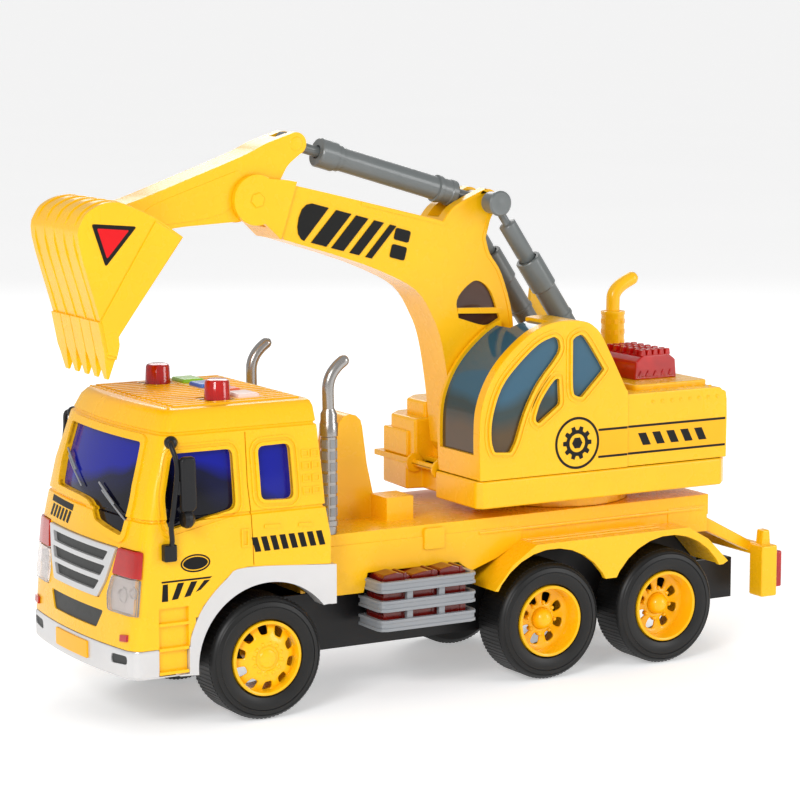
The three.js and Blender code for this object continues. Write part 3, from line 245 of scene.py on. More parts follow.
# %% [markdown]
# Windows are coloured clear plastic with a dark inside behind it. A solid deep tint shows the studio in
# it as the real panes do, and the tones from foot to crown are a painted reflection of the room. The
# lamps are clear plastic that passes some light, so they use transmission, with darker cores modelled
# behind them.

# %% Panes and lenses
def pane(name, foot, core, crown, low, high, lean=(0.0, 0.0), shift=0.0):
    """A tinted pane in three tones from its foot to its crown, between two heights in metres: a painted
    reflection of the room, brighter towards the crown.

    lean tips the tones along X and Y, as a reflection of the room does, and shift moves them."""
    made, flow = new_material(name)
    place = flow.node("TexCoord", out="Object")
    along, side, height = (flow.node("SeparateXYZ", inputs={0: place}, out=i) for i in range(3))
    reflection_rise = flow.node("MapRange", inputs={"Value": height, 1: low, 2: high, 3: 0.0, 4: 1.0})
    haze = flow.node("TexNoise", inputs={"Vector": place, "Scale": 24.0, "Detail": 1.0})
    reflection_tone = haze * 0.5 + reflection_rise * 0.9 - 0.2 + along * lean[0] + side * lean[1] + shift
    lower = flow.node("ValToRGB", {"stops": [(0.26, 0.0), (0.42, 1.0)]}, {"Fac": reflection_tone})
    upper = flow.node("ValToRGB", {"stops": [(0.48, 0.0), (0.60, 1.0)]}, {"Fac": reflection_tone})
    base = upper.mix(lower.mix((*foot, 1), (*core, 1)), (*crown, 1))
    surface(flow, {"Base Color": base, "Roughness": 0.04 + haze * 0.06, "Specular IOR Level": 0.35})
    return made


def lens(name, colour, shade, passes, roughness=0.08):
    made, flow = new_material(name)
    place = flow.node("TexCoord", out="Object")
    depth = flow.node("TexNoise", inputs={"Vector": place, "Scale": 160.0, "Detail": 3.0})
    base = (depth * 1.5 - 0.3).mix((*colour, 1), (*shade, 1))
    surface(flow, {"Base Color": base, "Roughness": roughness + depth * 0.05, "Coat Weight": 0.4,
                   "Coat Roughness": 0.03, "Transmission Weight": passes, "IOR": 1.45})
    return made


# Each pane's tones from foot to crown are a painted reflection of the room, brighter towards the crown.
cab_glass = pane("cab_glass", (0.003, 0.003, 0.008), (0.004, 0.005, 0.035), (0.004, 0.008, 0.27),
                 0.085, 0.135, (-9.0, -7.0), 1.52)
cabin_glass = pane("cabin_glass", (0.09, 0.055, 0.022), (0.030, 0.050, 0.050), (0.03, 0.10, 0.16),
                   0.105, 0.165)
# A dark brown pane for the floor of the boom's window pockets.
smoke_brown = pane("smoke_brown", (0.05, 0.02, 0.012), (0.065, 0.028, 0.016), (0.08, 0.034, 0.02),
                   0.16, 0.20)
red_lens = lens("red_lens", (0.70, 0.008, 0.004), (0.48, 0.004, 0.003), 0.35)
dark_red = lens("dark_red", (0.26, 0.010, 0.006), (0.12, 0.005, 0.003), 0.2, 0.12)
clear_lens = lens("clear_lens", (0.98, 0.93, 0.90), (0.94, 0.86, 0.83), 0.9, 0.02)

white_floor, floor_flow = new_material("floor")
floor_place = floor_flow.node("TexCoord", out="Object")
spread = floor_flow.node("TexNoise", inputs={"Vector": floor_place, "Scale": 3.0})
paper = spread.mix((0.90, 0.90, 0.90, 1), (0.92, 0.92, 0.92, 1))
surface(floor_flow, {"Base Color": paper, "Roughness": 0.8, "Emission Color": paper,
                     "Emission Strength": 0.42})
print("finishes", len(bpy.data.materials))


# %% [markdown]
# ## Mesh helpers
# Every piece is made in the frame's own place, in metres, so its object stays at the origin. Outlines
# are in millimetres. `Spot` says where an outline's zero lies.

# %% Outlines
class Spot:
    """A local zero in the side view, in metres."""

    def __init__(self, x, z):
        self.x = x
        self.z = z

    def point(self, x, y, z):
        return Vector((self.x + x * MM, y * MM, self.z + z * MM))


def centre_of(node):
    low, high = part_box(node)
    return (low + high) / 2


def from_joint(name):
    x, _, z = joints[name]["pos_m"]
    return Spot(x, z)


def arc(x, z, radius, start, end, steps=8):
    points = []
    for i in range(steps + 1):
        turn = math.radians(start + (end - start) * i / steps)
        points.append((x + radius * math.cos(turn), z + radius * math.sin(turn)))
    return points


def disc(x, z, radius, steps=48):
    return arc(x, z, radius, 0, 360 - 360 / steps, steps - 1)


def turn_at(points, i):
    """How far an outline turns at one of its points, in degrees."""
    here = Vector(points[i])
    before = here - Vector(points[i - 1])
    after = Vector(points[(i + 1) % len(points)]) - here
    return math.degrees(before.angle(after, 0.0))


def curved(points, sharp=35.0, steps=5):
    """Draws a smooth curve through an outline's points and keeps its sharp corners."""
    count = len(points)
    corner = [turn_at(points, i) > sharp for i in range(count)]
    smooth = []
    for i in range(count):
        p = [Vector(points[(i + k) % count]) for k in (-1, 0, 1, 2)]
        p0 = p[1] * 2 - p[2] if corner[i] else p[0]
        p3 = p[2] * 2 - p[1] if corner[(i + 1) % count] else p[3]
        if corner[i] and corner[(i + 1) % count]:
            smooth.append(tuple(p[1]))
            continue
        for k in range(steps):
            t = k / steps
            a = 2 * p[1]
            b = (p[2] - p0) * t
            c = (2 * p0 - 5 * p[1] + 4 * p[2] - p3) * t * t
            d = (3 * p[1] - p0 - 3 * p[2] + p3) * t * t * t
            smooth.append(tuple((a + b + c + d) / 2))
    return smooth


def rounded(points, radius, steps=4):
    """Cuts an outline's corners back to arcs of one radius, in millimetres."""
    count = len(points)
    done = []
    for i in range(count):
        here = Vector(points[i])
        back = Vector(points[i - 1]) - here
        ahead = Vector(points[(i + 1) % count]) - here
        reach = min(radius, back.length * 0.45, ahead.length * 0.45)
        start = here + back.normalized() * reach
        end = here + ahead.normalized() * reach
        for k in range(steps + 1):
            t = k / steps
            done.append(tuple(start * (1 - t) ** 2 + here * 2 * t * (1 - t) + end * t * t))
    return done


def area_of(points):
    return sum(a[0] * b[1] - b[0] * a[1] for a, b in zip(points, points[1:] + points[:1])) / 2


def offset(points, distance):
    """Moves every edge outwards by a distance, or inwards if it is negative."""
    side = 1 if area_of(points) > 0 else -1
    count = len(points)
    moved = []
    for i in range(count):
        here = Vector(points[i])
        a = (here - Vector(points[i - 1])).normalized()
        b = (Vector(points[(i + 1) % count]) - here).normalized()
        na = Vector((a.y, -a.x)) * side
        nb = Vector((b.y, -b.x)) * side
        moved.append(tuple(here + (na + nb) * (distance / max(0.35, 1 + na.dot(nb)))))
    return moved


def smaller(outline, distance):
    """An outline moved inwards."""
    return offset(outline, -distance)


print("a 10 mm disc measures", round(area_of(disc(0, 0, 10)), 1), "mm2")


# %% [markdown]
# The solids: a prism between two sides, a body turned on a lathe, and a rod swept along a curve. Each
# returns one closed mesh object. Several outlines can share one object, which keeps printed stripes
# together as one piece.

# %% Solids
def link(obj):
    bpy.context.scene.collection.objects.link(obj)
    return obj


def face_outwards(shape):
    """Turns each separate solid's faces outwards, which its signed volume shows."""
    bmesh.ops.recalc_face_normals(shape, faces=shape.faces)
    left = set(shape.faces)
    while left:
        front = [left.pop()]
        island = list(front)
        while front:
            near = {f for edge in front.pop().edges for f in edge.link_faces} & left
            left -= near
            front += near
            island += near
        if sum(f.calc_center_median().dot(f.normal) * f.calc_area() for f in island) < 0:
            bmesh.ops.reverse_faces(shape, faces=island)


def solid(name, verts, faces):
    mesh = bpy.data.meshes.new(name)
    mesh.from_pydata([tuple(v) for v in verts], [], faces)
    shape = bmesh.new()
    shape.from_mesh(mesh)
    bmesh.ops.remove_doubles(shape, verts=shape.verts, dist=1e-7)
    face_outwards(shape)
    shape.to_mesh(mesh)
    shape.free()
    return link(bpy.data.objects.new(name, mesh))


def prisms(name, outlines, low, high, point):
    """Solids with these outlines, between two distances along the axis that point() runs them on."""
    verts, faces = [], []
    for outline in outlines:
        first, count = len(verts), len(outline)
        verts += [point(u, v, low) for u, v in outline]
        verts += [point(u, v, high) for u, v in outline]
        faces.append([first + i for i in range(count)])
        faces.append([first + count + i for i in reversed(range(count))])
        for i in range(count):
            after = (i + 1) % count
            faces.append([first + i, first + after, first + count + after, first + count + i])
    return solid(name, verts, faces)


def side_prism(name, outlines, low, high, spot):
    """Outlines in the side view, (x, z), made solid between two y values in millimetres."""
    many = outlines if isinstance(outlines[0][0], (list, tuple, Vector)) else [outlines]
    return prisms(name, many, low, high, lambda x, z, y: spot.point(x, y, z))


def front_prism(name, outlines, low, high, spot):
    """Outlines in the front view, (y, z), made solid between two x values."""
    many = outlines if isinstance(outlines[0][0], (list, tuple, Vector)) else [outlines]
    return prisms(name, many, low, high, lambda y, z, x: spot.point(x, y, z))


def plan_prism(name, outlines, low, high, spot):
    """Outlines in plan, (x, y), made solid between two levels."""
    many = outlines if isinstance(outlines[0][0], (list, tuple, Vector)) else [outlines]
    return prisms(name, many, low, high, lambda x, y, z: spot.point(x, y, z))


def block(name, x, y, z, spot):
    return side_prism(name, [(x[0], z[0]), (x[1], z[0]), (x[1], z[1]), (x[0], z[1])], y[0], y[1], spot)


def lathe(name, profile, start, axis, steps=48):
    """A body turned about a line: profile points are (radius, distance along the line), in mm."""
    axis = Vector(axis).normalized()
    side = axis.orthogonal().normalized()
    other = axis.cross(side)
    verts, faces = [], []
    for radius, along in profile:
        for i in range(steps):
            turn = 2 * math.pi * i / steps
            out = side * math.cos(turn) + other * math.sin(turn)
            verts.append(start + (axis * along + out * max(radius, 0.0)) * MM)
    for k in range(len(profile) - 1):
        for i in range(steps):
            after = (i + 1) % steps
            faces.append([k * steps + i, k * steps + after, (k + 1) * steps + after, (k + 1) * steps + i])
    return solid(name, verts, faces)


def rod(name, points, radius, spot=None, sides=16, steps=8):
    """A round rod through points in mm, in a smooth curve with domed ends."""
    path = [spot.point(*p) if spot else Vector(p) for p in points]
    dense = []
    for i in range(len(path) - 1):
        p0, p3 = path[max(i - 1, 0)], path[min(i + 2, len(path) - 1)]
        p1, p2 = path[i], path[i + 1]
        for k in range(steps):
            t = k / steps
            a, b = 2 * p1, (p2 - p0) * t
            c = (2 * p0 - 5 * p1 + 4 * p2 - p3) * t * t
            dense.append((a + b + c + (3 * p1 - p0 - 3 * p2 + p3) * t ** 3) / 2)
    dense.append(path[-1])
    size = radius * MM
    ahead = (dense[1] - dense[0]).normalized()
    back = (dense[-1] - dense[-2]).normalized()
    dome = [(0.35, 0.94), (0.75, 0.66), (0.98, 0.20)]
    line = [(dense[0] - ahead * size * far, wide) for far, wide in reversed(dome)]
    line += [(p, 1.0) for p in dense]
    line += [(dense[-1] + back * size * far, wide) for far, wide in dome]
    verts, faces = [], []
    side = ahead.orthogonal().normalized()
    for i, (place, wide) in enumerate(line):
        aim = (line[min(i + 1, len(line) - 1)][0] - line[max(i - 1, 0)][0]).normalized()
        side = (side - aim * side.dot(aim)).normalized()
        other = aim.cross(side)
        for k in range(sides):
            turn = 2 * math.pi * k / sides
            verts.append(place + (side * math.cos(turn) + other * math.sin(turn)) * size * wide)
    for i in range(len(line) - 1):
        for k in range(sides):
            after = (k + 1) % sides
            faces.append([i * sides + k, i * sides + after, (i + 1) * sides + after, (i + 1) * sides + k])
    last = (len(line) - 1) * sides
    faces.append(list(range(sides)))
    faces.append([last + k for k in reversed(range(sides))])
    return solid(name, verts, faces)


# %% [markdown]
# Cutting and joining use the Manifold Boolean, which needs closed solids that face outwards. `settled`
# turns whatever modifiers an object has into a plain mesh. `softened` rounds the edges as a mould does,
# and shades the flats flat. `placed` is the last step of every piece, and prints what was made.

# %% Cutting, joining and rounding
def settled(obj):
    bpy.context.view_layer.update()
    graph = bpy.context.evaluated_depsgraph_get()
    mesh = bpy.data.meshes.new_from_object(obj.evaluated_get(graph))
    obj.modifiers.clear()
    obj.data = mesh
    return obj


def with_tools(obj, tools, operation):
    for tool in tools:
        change = obj.modifiers.new("change", "BOOLEAN")
        change.object = tool
        change.operation = operation
        change.solver = "MANIFOLD"
        settled(obj)
        bpy.data.objects.remove(tool)
    return obj


def cut(obj, *tools):
    return with_tools(obj, tools, "DIFFERENCE")


def joined(obj, *tools):
    return with_tools(obj, tools, "UNION")


def shared(obj, *tools):
    return with_tools(obj, tools, "INTERSECT")


def together(name, *parts):
    """Puts separate solids in one object without cutting them."""
    shape = bmesh.new()
    for part in parts:
        shape.from_mesh(part.data)
        bpy.data.objects.remove(part)
    mesh = bpy.data.meshes.new(name)
    shape.to_mesh(mesh)
    shape.free()
    return link(bpy.data.objects.new(name, mesh))


def tidy_flats(obj):
    """Joins the flat triangles that a cut leaves, so that a bevel finds only real edges."""
    shape = bmesh.new()
    shape.from_mesh(obj.data)
    bmesh.ops.remove_doubles(shape, verts=shape.verts, dist=2e-6)
    bmesh.ops.dissolve_limit(shape, angle_limit=math.radians(0.6), verts=shape.verts,
                             edges=shape.edges, delimit={"NORMAL"})
    shape.to_mesh(obj.data)
    shape.free()
    return obj


def shaded(obj, angle=38.0):
    obj.data.shade_smooth()
    obj.data.set_sharp_from_angle(angle=math.radians(angle))
    return obj


def softened(obj, width, segments=2, angle=32.0):
    tidy_flats(obj)
    bevel = obj.modifiers.new("round", "BEVEL")
    bevel.width = width * MM
    bevel.segments = segments
    bevel.limit_method = "ANGLE"
    bevel.angle_limit = math.radians(angle)
    bevel.use_clamp_overlap = True
    settled(obj)
    shaded(obj, 40.0)
    even = obj.modifiers.new("even", "WEIGHTED_NORMAL")
    even.keep_sharp = True
    return settled(obj)


def from_cad(name, node):
    """A copy of a CAD node's mesh, merged, ready for rounding."""
    obj = link(bpy.data.objects.new(name, frame["nodes"][node].data.copy()))
    obj.data.materials.clear()
    return tidy_flats(obj)


def placed(obj, material, body, slot, *nodes):
    """Gives a finished piece its material and body, and hides the CAD nodes that it stands for. The slot is
    not used.
    """
    obj.data.materials.clear()
    obj.data.materials.append(material)
    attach(obj, body)
    if nodes:
        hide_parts(*nodes)
    print(obj.name, "on", body + ":", len(obj.data.polygons), "faces")
    return obj


# %% [markdown]
# ## Repeats
# Rivets, tread blocks, ribs and studs repeat one small shape along a line or round a ring. Two Geometry
# Nodes trees do it: the shape is set on points, made real, and given its material.

# %% Geometry Nodes trees
def node_group(name, inputs):
    tree = bpy.data.node_groups.new(name, "GeometryNodeTree")
    tree.interface.new_socket("Geometry", in_out="OUTPUT", socket_type="NodeSocketGeometry")
    for label, kind in inputs:
        tree.interface.new_socket(label, in_out="INPUT", socket_type="NodeSocket" + kind)
    source = tree.nodes.new("NodeGroupInput")
    return tree, source


def on_points(tree, source, points, rotation=None):
    """Sets the shape on points and ends the tree."""
    shape = tree.nodes.new("GeometryNodeObjectInfo")
    instances = tree.nodes.new("GeometryNodeInstanceOnPoints")
    real = tree.nodes.new("GeometryNodeRealizeInstances")
    painted = tree.nodes.new("GeometryNodeSetMaterial")
    end = tree.nodes.new("NodeGroupOutput")
    links = tree.links
    links.new(source.outputs["Shape"], shape.inputs["Object"])
    links.new(points, instances.inputs["Points"])
    links.new(shape.outputs["Geometry"], instances.inputs["Instance"])
    if rotation:
        links.new(rotation, instances.inputs["Rotation"])
    links.new(instances.outputs[0], real.inputs[0])
    links.new(real.outputs[0], painted.inputs["Geometry"])
    links.new(source.outputs["Finish"], painted.inputs["Material"])
    links.new(painted.outputs[0], end.inputs[0])


def row_tree():
    tree, source = node_group("row", [("Shape", "Object"), ("Count", "Int"), ("First", "Vector"),
                                      ("Step", "Vector"), ("Finish", "Material")])
    line = tree.nodes.new("GeometryNodeMeshLine")
    line.mode = "OFFSET"
    tree.links.new(source.outputs["Count"], line.inputs["Count"])
    tree.links.new(source.outputs["First"], line.inputs["Start Location"])
    tree.links.new(source.outputs["Step"], line.inputs["Offset"])
    on_points(tree, source, line.outputs["Mesh"])
    return tree


def ring_tree():
    """Points round an axis along Y; the shape's own +X points outwards."""
    tree, source = node_group("ring", [("Shape", "Object"), ("Count", "Int"), ("Centre", "Vector"),
                                       ("Radius", "Float"), ("Start", "Float"), ("Finish", "Material")])

    def number(operation, first, second):
        made = tree.nodes.new("ShaderNodeMath")
        made.operation = operation
        for i, value in enumerate((first, second)):
            if isinstance(value, (int, float)):
                made.inputs[i].default_value = value
            else:
                tree.links.new(value, made.inputs[i])
        return made.outputs[0]

    index = tree.nodes.new("GeometryNodeInputIndex").outputs[0]
    share = number("DIVIDE", index, source.outputs["Count"])
    turn = number("ADD", number("MULTIPLY", share, 2 * math.pi), source.outputs["Start"])
    across = number("MULTIPLY", number("COSINE", turn, 0), source.outputs["Radius"])
    up = number("MULTIPLY", number("SINE", turn, 0), source.outputs["Radius"])
    place = tree.nodes.new("ShaderNodeCombineXYZ")
    tree.links.new(across, place.inputs[0])
    tree.links.new(up, place.inputs[2])
    moved = tree.nodes.new("ShaderNodeVectorMath")
    tree.links.new(place.outputs[0], moved.inputs[0])
    tree.links.new(source.outputs["Centre"], moved.inputs[1])
    points = tree.nodes.new("GeometryNodePoints")
    tree.links.new(source.outputs["Count"], points.inputs["Count"])
    tree.links.new(moved.outputs[0], points.inputs["Position"])
    facing = tree.nodes.new("ShaderNodeCombineXYZ")
    tree.links.new(number("MULTIPLY", turn, -1.0), facing.inputs[1])
    on_points(tree, source, points.outputs[0], facing.outputs[0])
    return tree


ROW, RING = row_tree(), ring_tree()
print("trees", ROW.name, len(ROW.nodes), "nodes,", RING.name, len(RING.nodes), "nodes")


def repeated(name, tree, shape, finish, **sizes):
    """Runs a repeating tree on a small shape and returns the result as a plain mesh object."""
    host = link(bpy.data.objects.new(name, bpy.data.meshes.new(name)))
    change = host.modifiers.new("repeat", "NODES")
    change.node_group = tree
    values = {"Shape": shape, "Finish": finish, **sizes}
    for item in tree.interface.items_tree:
        if item.in_out == "INPUT":
            change[item.identifier] = values[item.name]
    settled(host)
    bpy.data.objects.remove(shape)
    return host


def in_row(name, shape, finish, count, first, step):
    return repeated(name, ROW, shape, finish, Count=count, First=first, Step=step)


def in_ring(name, shape, finish, count, centre, radius, start=0.0):
    return repeated(name, RING, shape, finish, Count=count, Centre=centre, Radius=radius * MM,
                    Start=start)


def rows_round(name, shape, finish, turns, count, first, step):
    """A row of a shape up a round stack, once at each of these turns in degrees."""
    rows = []
    for turn in turns:
        piece = link(bpy.data.objects.new(name, shape.data.copy()))
        piece.data.transform(Matrix.Rotation(math.radians(turn), 4, "Z"))
        rows.append(in_row(name, piece, finish, count, first, step))
    bpy.data.objects.remove(shape)
    return rows


# %% [markdown]
# ## Places
# Each part of the toy has its own zero, read from the frame: the front axle for the truck, the turning
# axis for the house, and the pivots for the arm. Outlines are then short round numbers, and they follow
# the frame if it moves. The toy is the same on both sides, so most pieces are made once for each side.

# %% Places that everything is measured from
ZERO = Spot(0.0, 0.0)
SIDES = (("left", 1), ("right", -1))


def across(side, near, far):
    """Two distances from the middle plane as a low and a high y on one side of it."""
    return tuple(sorted((side * near, side * far)))


def mirrored(points, side):
    return [(side * y, z) for y, z in points]


def both_sides(name, outlines, near, far, spot=None):
    """Side outlines between two distances from the middle plane, once on each side of the toy."""
    return [side_prism(name, outlines, *across(side, near, far), spot or body) for _, side in SIDES]


axle_x = {place: centre_of("axle_" + place).x for place in ("front", "middle", "rear")}
axle_z = centre_of("axle_front").z
arch_gap = 7.0
body = Spot(axle_x["front"], 2 * axle_z + arch_gap * MM)
house = Spot(centre_of("turntable").x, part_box("house_base")[0].z)
boom = from_joint("boom_lift")
stick = from_joint("stick_tilt")
bucket = from_joint("bucket_tilt")
lug = Vector(joints["arm_barrel_swing"]["pos_m"])
half_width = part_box("cab_body")[1].y / MM
wall = 2.2  # mm, what every shell of the toy is moulded to
print("cab half width", round(half_width, 1), "house at", round(house.x, 4), round(house.z, 4))

# %% [markdown]
# ## Wheels
# A tyre is turned: a full sidewall with two fine rings and a nearly flat tread. Fine blocks round the
# tread are one block repeated in a ring. The front rims bulge outwards and the rear rims are dished
# deep, as on a truck with twin rear wheels, so the two share a builder with different profiles.

# %% Tyres
tyre_radius = axle_z / MM
tyre_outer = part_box("tyre_front_left")[1].y / MM
tyre_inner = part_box("tyre_front_left")[0].y / MM
rim_radius = 17.0
tread_count = 84


def tyre_profile():
    r, a, b = tyre_radius, tyre_inner, tyre_outer
    return [
        (rim_radius + 0.3, a + 2.2), (rim_radius + 1.2, a + 1.0), (r - 6, a), (r - 2.6, a + 0.5),
        (r - 0.9, a + 1.9), (r - 0.3, a + 3.4), (r - 0.3, b - 3.4), (r - 0.7, b - 2.2), (r - 1.5, b - 1.1),
        (r - 2.1, b - 0.75), (r - 2.2, b - 0.95), (r - 2.6, b - 0.55), (r - 4.4, b - 0.12),
        (r - 4.5, b - 0.35), (r - 4.9, b - 0.08), (r - 6.5, b), (rim_radius + 2.2, b - 0.5),
        (rim_radius + 0.9, b - 1.0), (rim_radius + 0.3, b - 2.0), (rim_radius + 0.3, a + 2.2),
    ]


def make_tyre(place, side_name, side):
    start = Vector((axle_x[place], 0, axle_z))
    profile = [(r, side * y) for r, y in tyre_profile()]
    tyre = lathe("tyre", profile, start, (0, 1, 0), 96)
    length = tyre_outer - tyre_inner - 6
    shape = block("tread", (-0.5, 0.14), (-length / 2, length / 2), (-0.55, 0.55), ZERO)
    middle_y = side * (tyre_inner + tyre_outer) / 2 * MM
    tread = in_ring("tread", shape, tyre_rubber, tread_count, (start.x, middle_y, start.z),
                    tyre_radius - 0.3)
    whole = shaded(together("tyre_body_%s_%s" % (place, side_name), tyre, tread), 30)
    placed(whole, tyre_rubber, place + "_axle", "tyre_rubber", "tyre_%s_%s" % (place, side_name))


for place in axle_x:
    for side_name, side in SIDES:
        make_tyre(place, side_name, side)
print("tyres", tyre_radius, "mm radius,", round(tyre_outer - tyre_inner, 1), "mm wide")


# %% [markdown]
# The rim's web is one sheet of rings and sectors. Leaving out some of its cells makes the hand holes;
# Solidify gives the sheet its wall and Subdivision Surface rounds the holes, which a cut would not.

# %% Rims
def web_sheet(name, rings, sectors, open_ring, open_sectors, start, side):
    """A turned sheet, (radius, y) per ring, with holes where cells are left out."""
    verts, faces = [], []
    for radius, y in rings:
        for i in range(sectors):
            turn = 2 * math.pi * (i + 0.5) / sectors
            spot = Vector((radius * math.cos(turn), side * y, radius * math.sin(turn)))
            verts.append(start + spot * MM)
    for k in range(len(rings) - 1):
        for i in range(sectors):
            if k in open_ring and i % (sectors // open_sectors) in (0, 1):
                continue
            after = (i + 1) % sectors
            face = [k * sectors + i, k * sectors + after, (k + 1) * sectors + after, (k + 1) * sectors + i]
            faces.append(face if side > 0 else face[::-1])
    mesh = bpy.data.meshes.new(name)
    mesh.from_pydata([tuple(v) for v in verts], [], faces)
    obj = link(bpy.data.objects.new(name, mesh))
    wall = obj.modifiers.new("wall", "SOLIDIFY")
    wall.thickness = 1.5 * MM
    wall.offset = 0.0
    smooth = obj.modifiers.new("smooth", "SUBSURF")
    smooth.levels = smooth.render_levels = 2
    return settled(obj)


def make_rim(place, side_name, side):
    start = Vector((axle_x[place], 0, axle_z))
    outer = tyre_outer
    front = place == "front"
    if front:
        rings = [(5.5, outer - 0.9), (8.6, outer - 1.4), (10.9, outer - 2.3), (12.9, outer - 3.4),
                 (15.0, outer - 4.6), (15.9, outer - 5.0)]
        hub_y, stud_y, stud_radius, holes = outer - 1.6, outer - 1.1, 6.9, 10
        hub = [(0, 1.7), (3.4, 1.7), (4.0, 1.4), (4.4, 0.8), (5.6, 0.6), (5.9, 0.0), (5.9, -3.0), (0, -3.0)]
    else:
        rings = [(5.0, outer - 9.0), (7.6, outer - 9.6), (9.6, outer - 10.0), (12.6, outer - 10.0),
                 (14.4, outer - 9.6), (15.9, outer - 9.4)]
        hub_y, stud_y, stud_radius, holes = outer - 9.6, outer - 9.2, 7.4, 8
        hub = [(0, 6.2), (1.8, 5.9), (3.4, 5.0), (4.5, 3.6), (5.0, 2.0), (5.1, 0.5), (5.6, 0), (5.6, -2),
               (0, -2)]
    sectors = holes * 4
    web = web_sheet("web", rings, sectors, (2, 3) if front else (1, 2), holes, start, side)
    lip_y = outer - 0.6
    band = [(15.6, tyre_inner + 2), (rim_radius, tyre_inner + 2), (rim_radius, outer - 1.4),
            (rim_radius - 0.1, lip_y), (rim_radius - 0.7, lip_y + 0.35), (rim_radius - 1.4, lip_y),
            (rim_radius - 1.7, lip_y - 0.9), (15.0, outer - (5.2 if front else 8.6)), (15.0, tyre_inner + 3),
            (15.6, tyre_inner + 2)]
    shell = lathe("band", [(r, side * y) for r, y in band], start, (0, 1, 0), 64)
    core = lathe("core", [(r, side * (hub_y + y)) for r, y in hub], start, (0, 1, 0), 40)
    bore = lathe("bore", [(0, side * (hub_y - 1)), (4.2, side * (hub_y - 1)), (4.2, side * (tyre_inner + 3)),
                          (0, side * (tyre_inner + 3))], start, (0, 1, 0), 32)
    stud = lathe("stud", [(0, side * 1.3), (0.6, side * 1.2), (1.0, side * 0.7), (1.1, side * -1.5),
                          (0, side * -1.5)], Vector((0, 0, 0)), (0, 1, 0), 12)
    studs = in_ring("studs", stud, yellow, 12 if front else 8, (start.x, side * stud_y * MM, start.z),
                    stud_radius, 0.15)
    whole = together("rim_face_%s_%s" % (place, side_name), web, shell, core, bore, studs)
    placed(shaded(whole, 34), yellow, place + "_axle", "yellow_plastic", "rim_%s_%s" % (place, side_name))


for place in axle_x:
    for side_name, side in SIDES:
        make_rim(place, side_name, side)

# %% [markdown]
# ## The cab
# The cab is a loft of plan outlines with a bowed front. Everything on its skin, from window frames to
# printed stripes, is a prism shared with a thin skin of the same loft, so it follows the bow exactly.

# %% Cab loft
cab_bow = 4.8
groove = 0.9
cab_levels = [
    (-24.3, 70.5, -33.5, half_width),
    (-6, 69, -32, half_width),
    (18, 66.3, -32, half_width),
    (30.9, 63.5, -29.6, half_width - 0.4),
    (31.4, 63.4 - groove, -29.5 + groove, half_width - 0.4 - groove),
    (32.2, 63.2 - groove, -29.4 + groove, half_width - 0.5 - groove),
    (32.7, 63.1, -29.3, half_width - 0.5),
    (46, 60.3, -28.5, half_width - 1.5),
    (68, 53.2, -27, half_width - 3.9),
    (68.5, 53 - groove, -27 + groove, half_width - 4 - groove),
    (69.2, 52.6 - groove, -27 + groove, half_width - 4.4 - groove),
    (69.7, 52.2, -27, half_width - 4.9),
    (76, 49.5, -27, half_width - 7.5),
    (78, 47.8, -26.6, half_width - 9.2),
    (79, 46, -25.5, half_width - 11),
]


def cab_ring(z, front, rear, half, grow):
    corner = 5 + grow / 2
    wide = half + grow
    nose = front + grow
    tail = rear - grow
    flat = wide - corner
    corner_x = nose - cab_bow - corner
    ring = [(tail, -wide + 1.5), (tail + 0.5, -wide + 0.4), (tail + 1.5, -wide)]
    ring += arc(corner_x, -flat, corner, -90, -15, 7)
    for i in range(17):
        y = -flat + 2 * flat * i / 16
        ring.append((nose - cab_bow * (y / wide) ** 2, y))
    ring += arc(corner_x, flat, corner, 15, 90, 7)
    ring += [(tail + 1.5, wide), (tail + 0.5, wide - 0.4), (tail, wide - 1.5)]
    return [body.point(x, y, z) for x, y in ring]


def lofted(name, rings):
    """A closed solid through rings that have the same number of points."""
    count = len(rings[0])
    verts = [v for ring in rings for v in ring]
    faces = [list(range(count)), [len(verts) - 1 - i for i in range(count)]]
    for k in range(len(rings) - 1):
        for i in range(count):
            after = (i + 1) % count
            faces.append([k * count + i, k * count + after, (k + 1) * count + after, (k + 1) * count + i])
    return solid(name, verts, faces)


def cab_loft(name, grow, drop=0.0):
    """The cab's outer form, grown by some millimetres; drop carries its foot further down."""
    rings = []
    for i, (z, front, rear, half) in enumerate(cab_levels):
        foot = drop if i == 0 else 0.0
        crown = min(grow, 0.0) if i == len(cab_levels) - 1 else 0.0
        rings.append(cab_ring(z - foot + crown, front, rear, half, grow))
    return lofted(name, rings)


def cab_skin(outer, inner):
    """A thin skin of the cab between two offsets of its loft."""
    return cut(cab_loft("skin", outer), cab_loft("core", inner, 5.0))


def on_cab(name, prism, outer, inner):
    obj = shared(prism, cab_skin(outer, inner))
    obj.name = name
    return obj


def front_x(y, z):
    """The cab's front surface at a y and a level, in millimetres of the body frame."""
    for low, high in zip(cab_levels, cab_levels[1:]):
        if low[0] <= z <= high[0]:
            t = (z - low[0]) / (high[0] - low[0])
            nose = low[1] + (high[1] - low[1]) * t
            return nose - cab_bow * (y / half_width) ** 2
    return cab_levels[0][1]


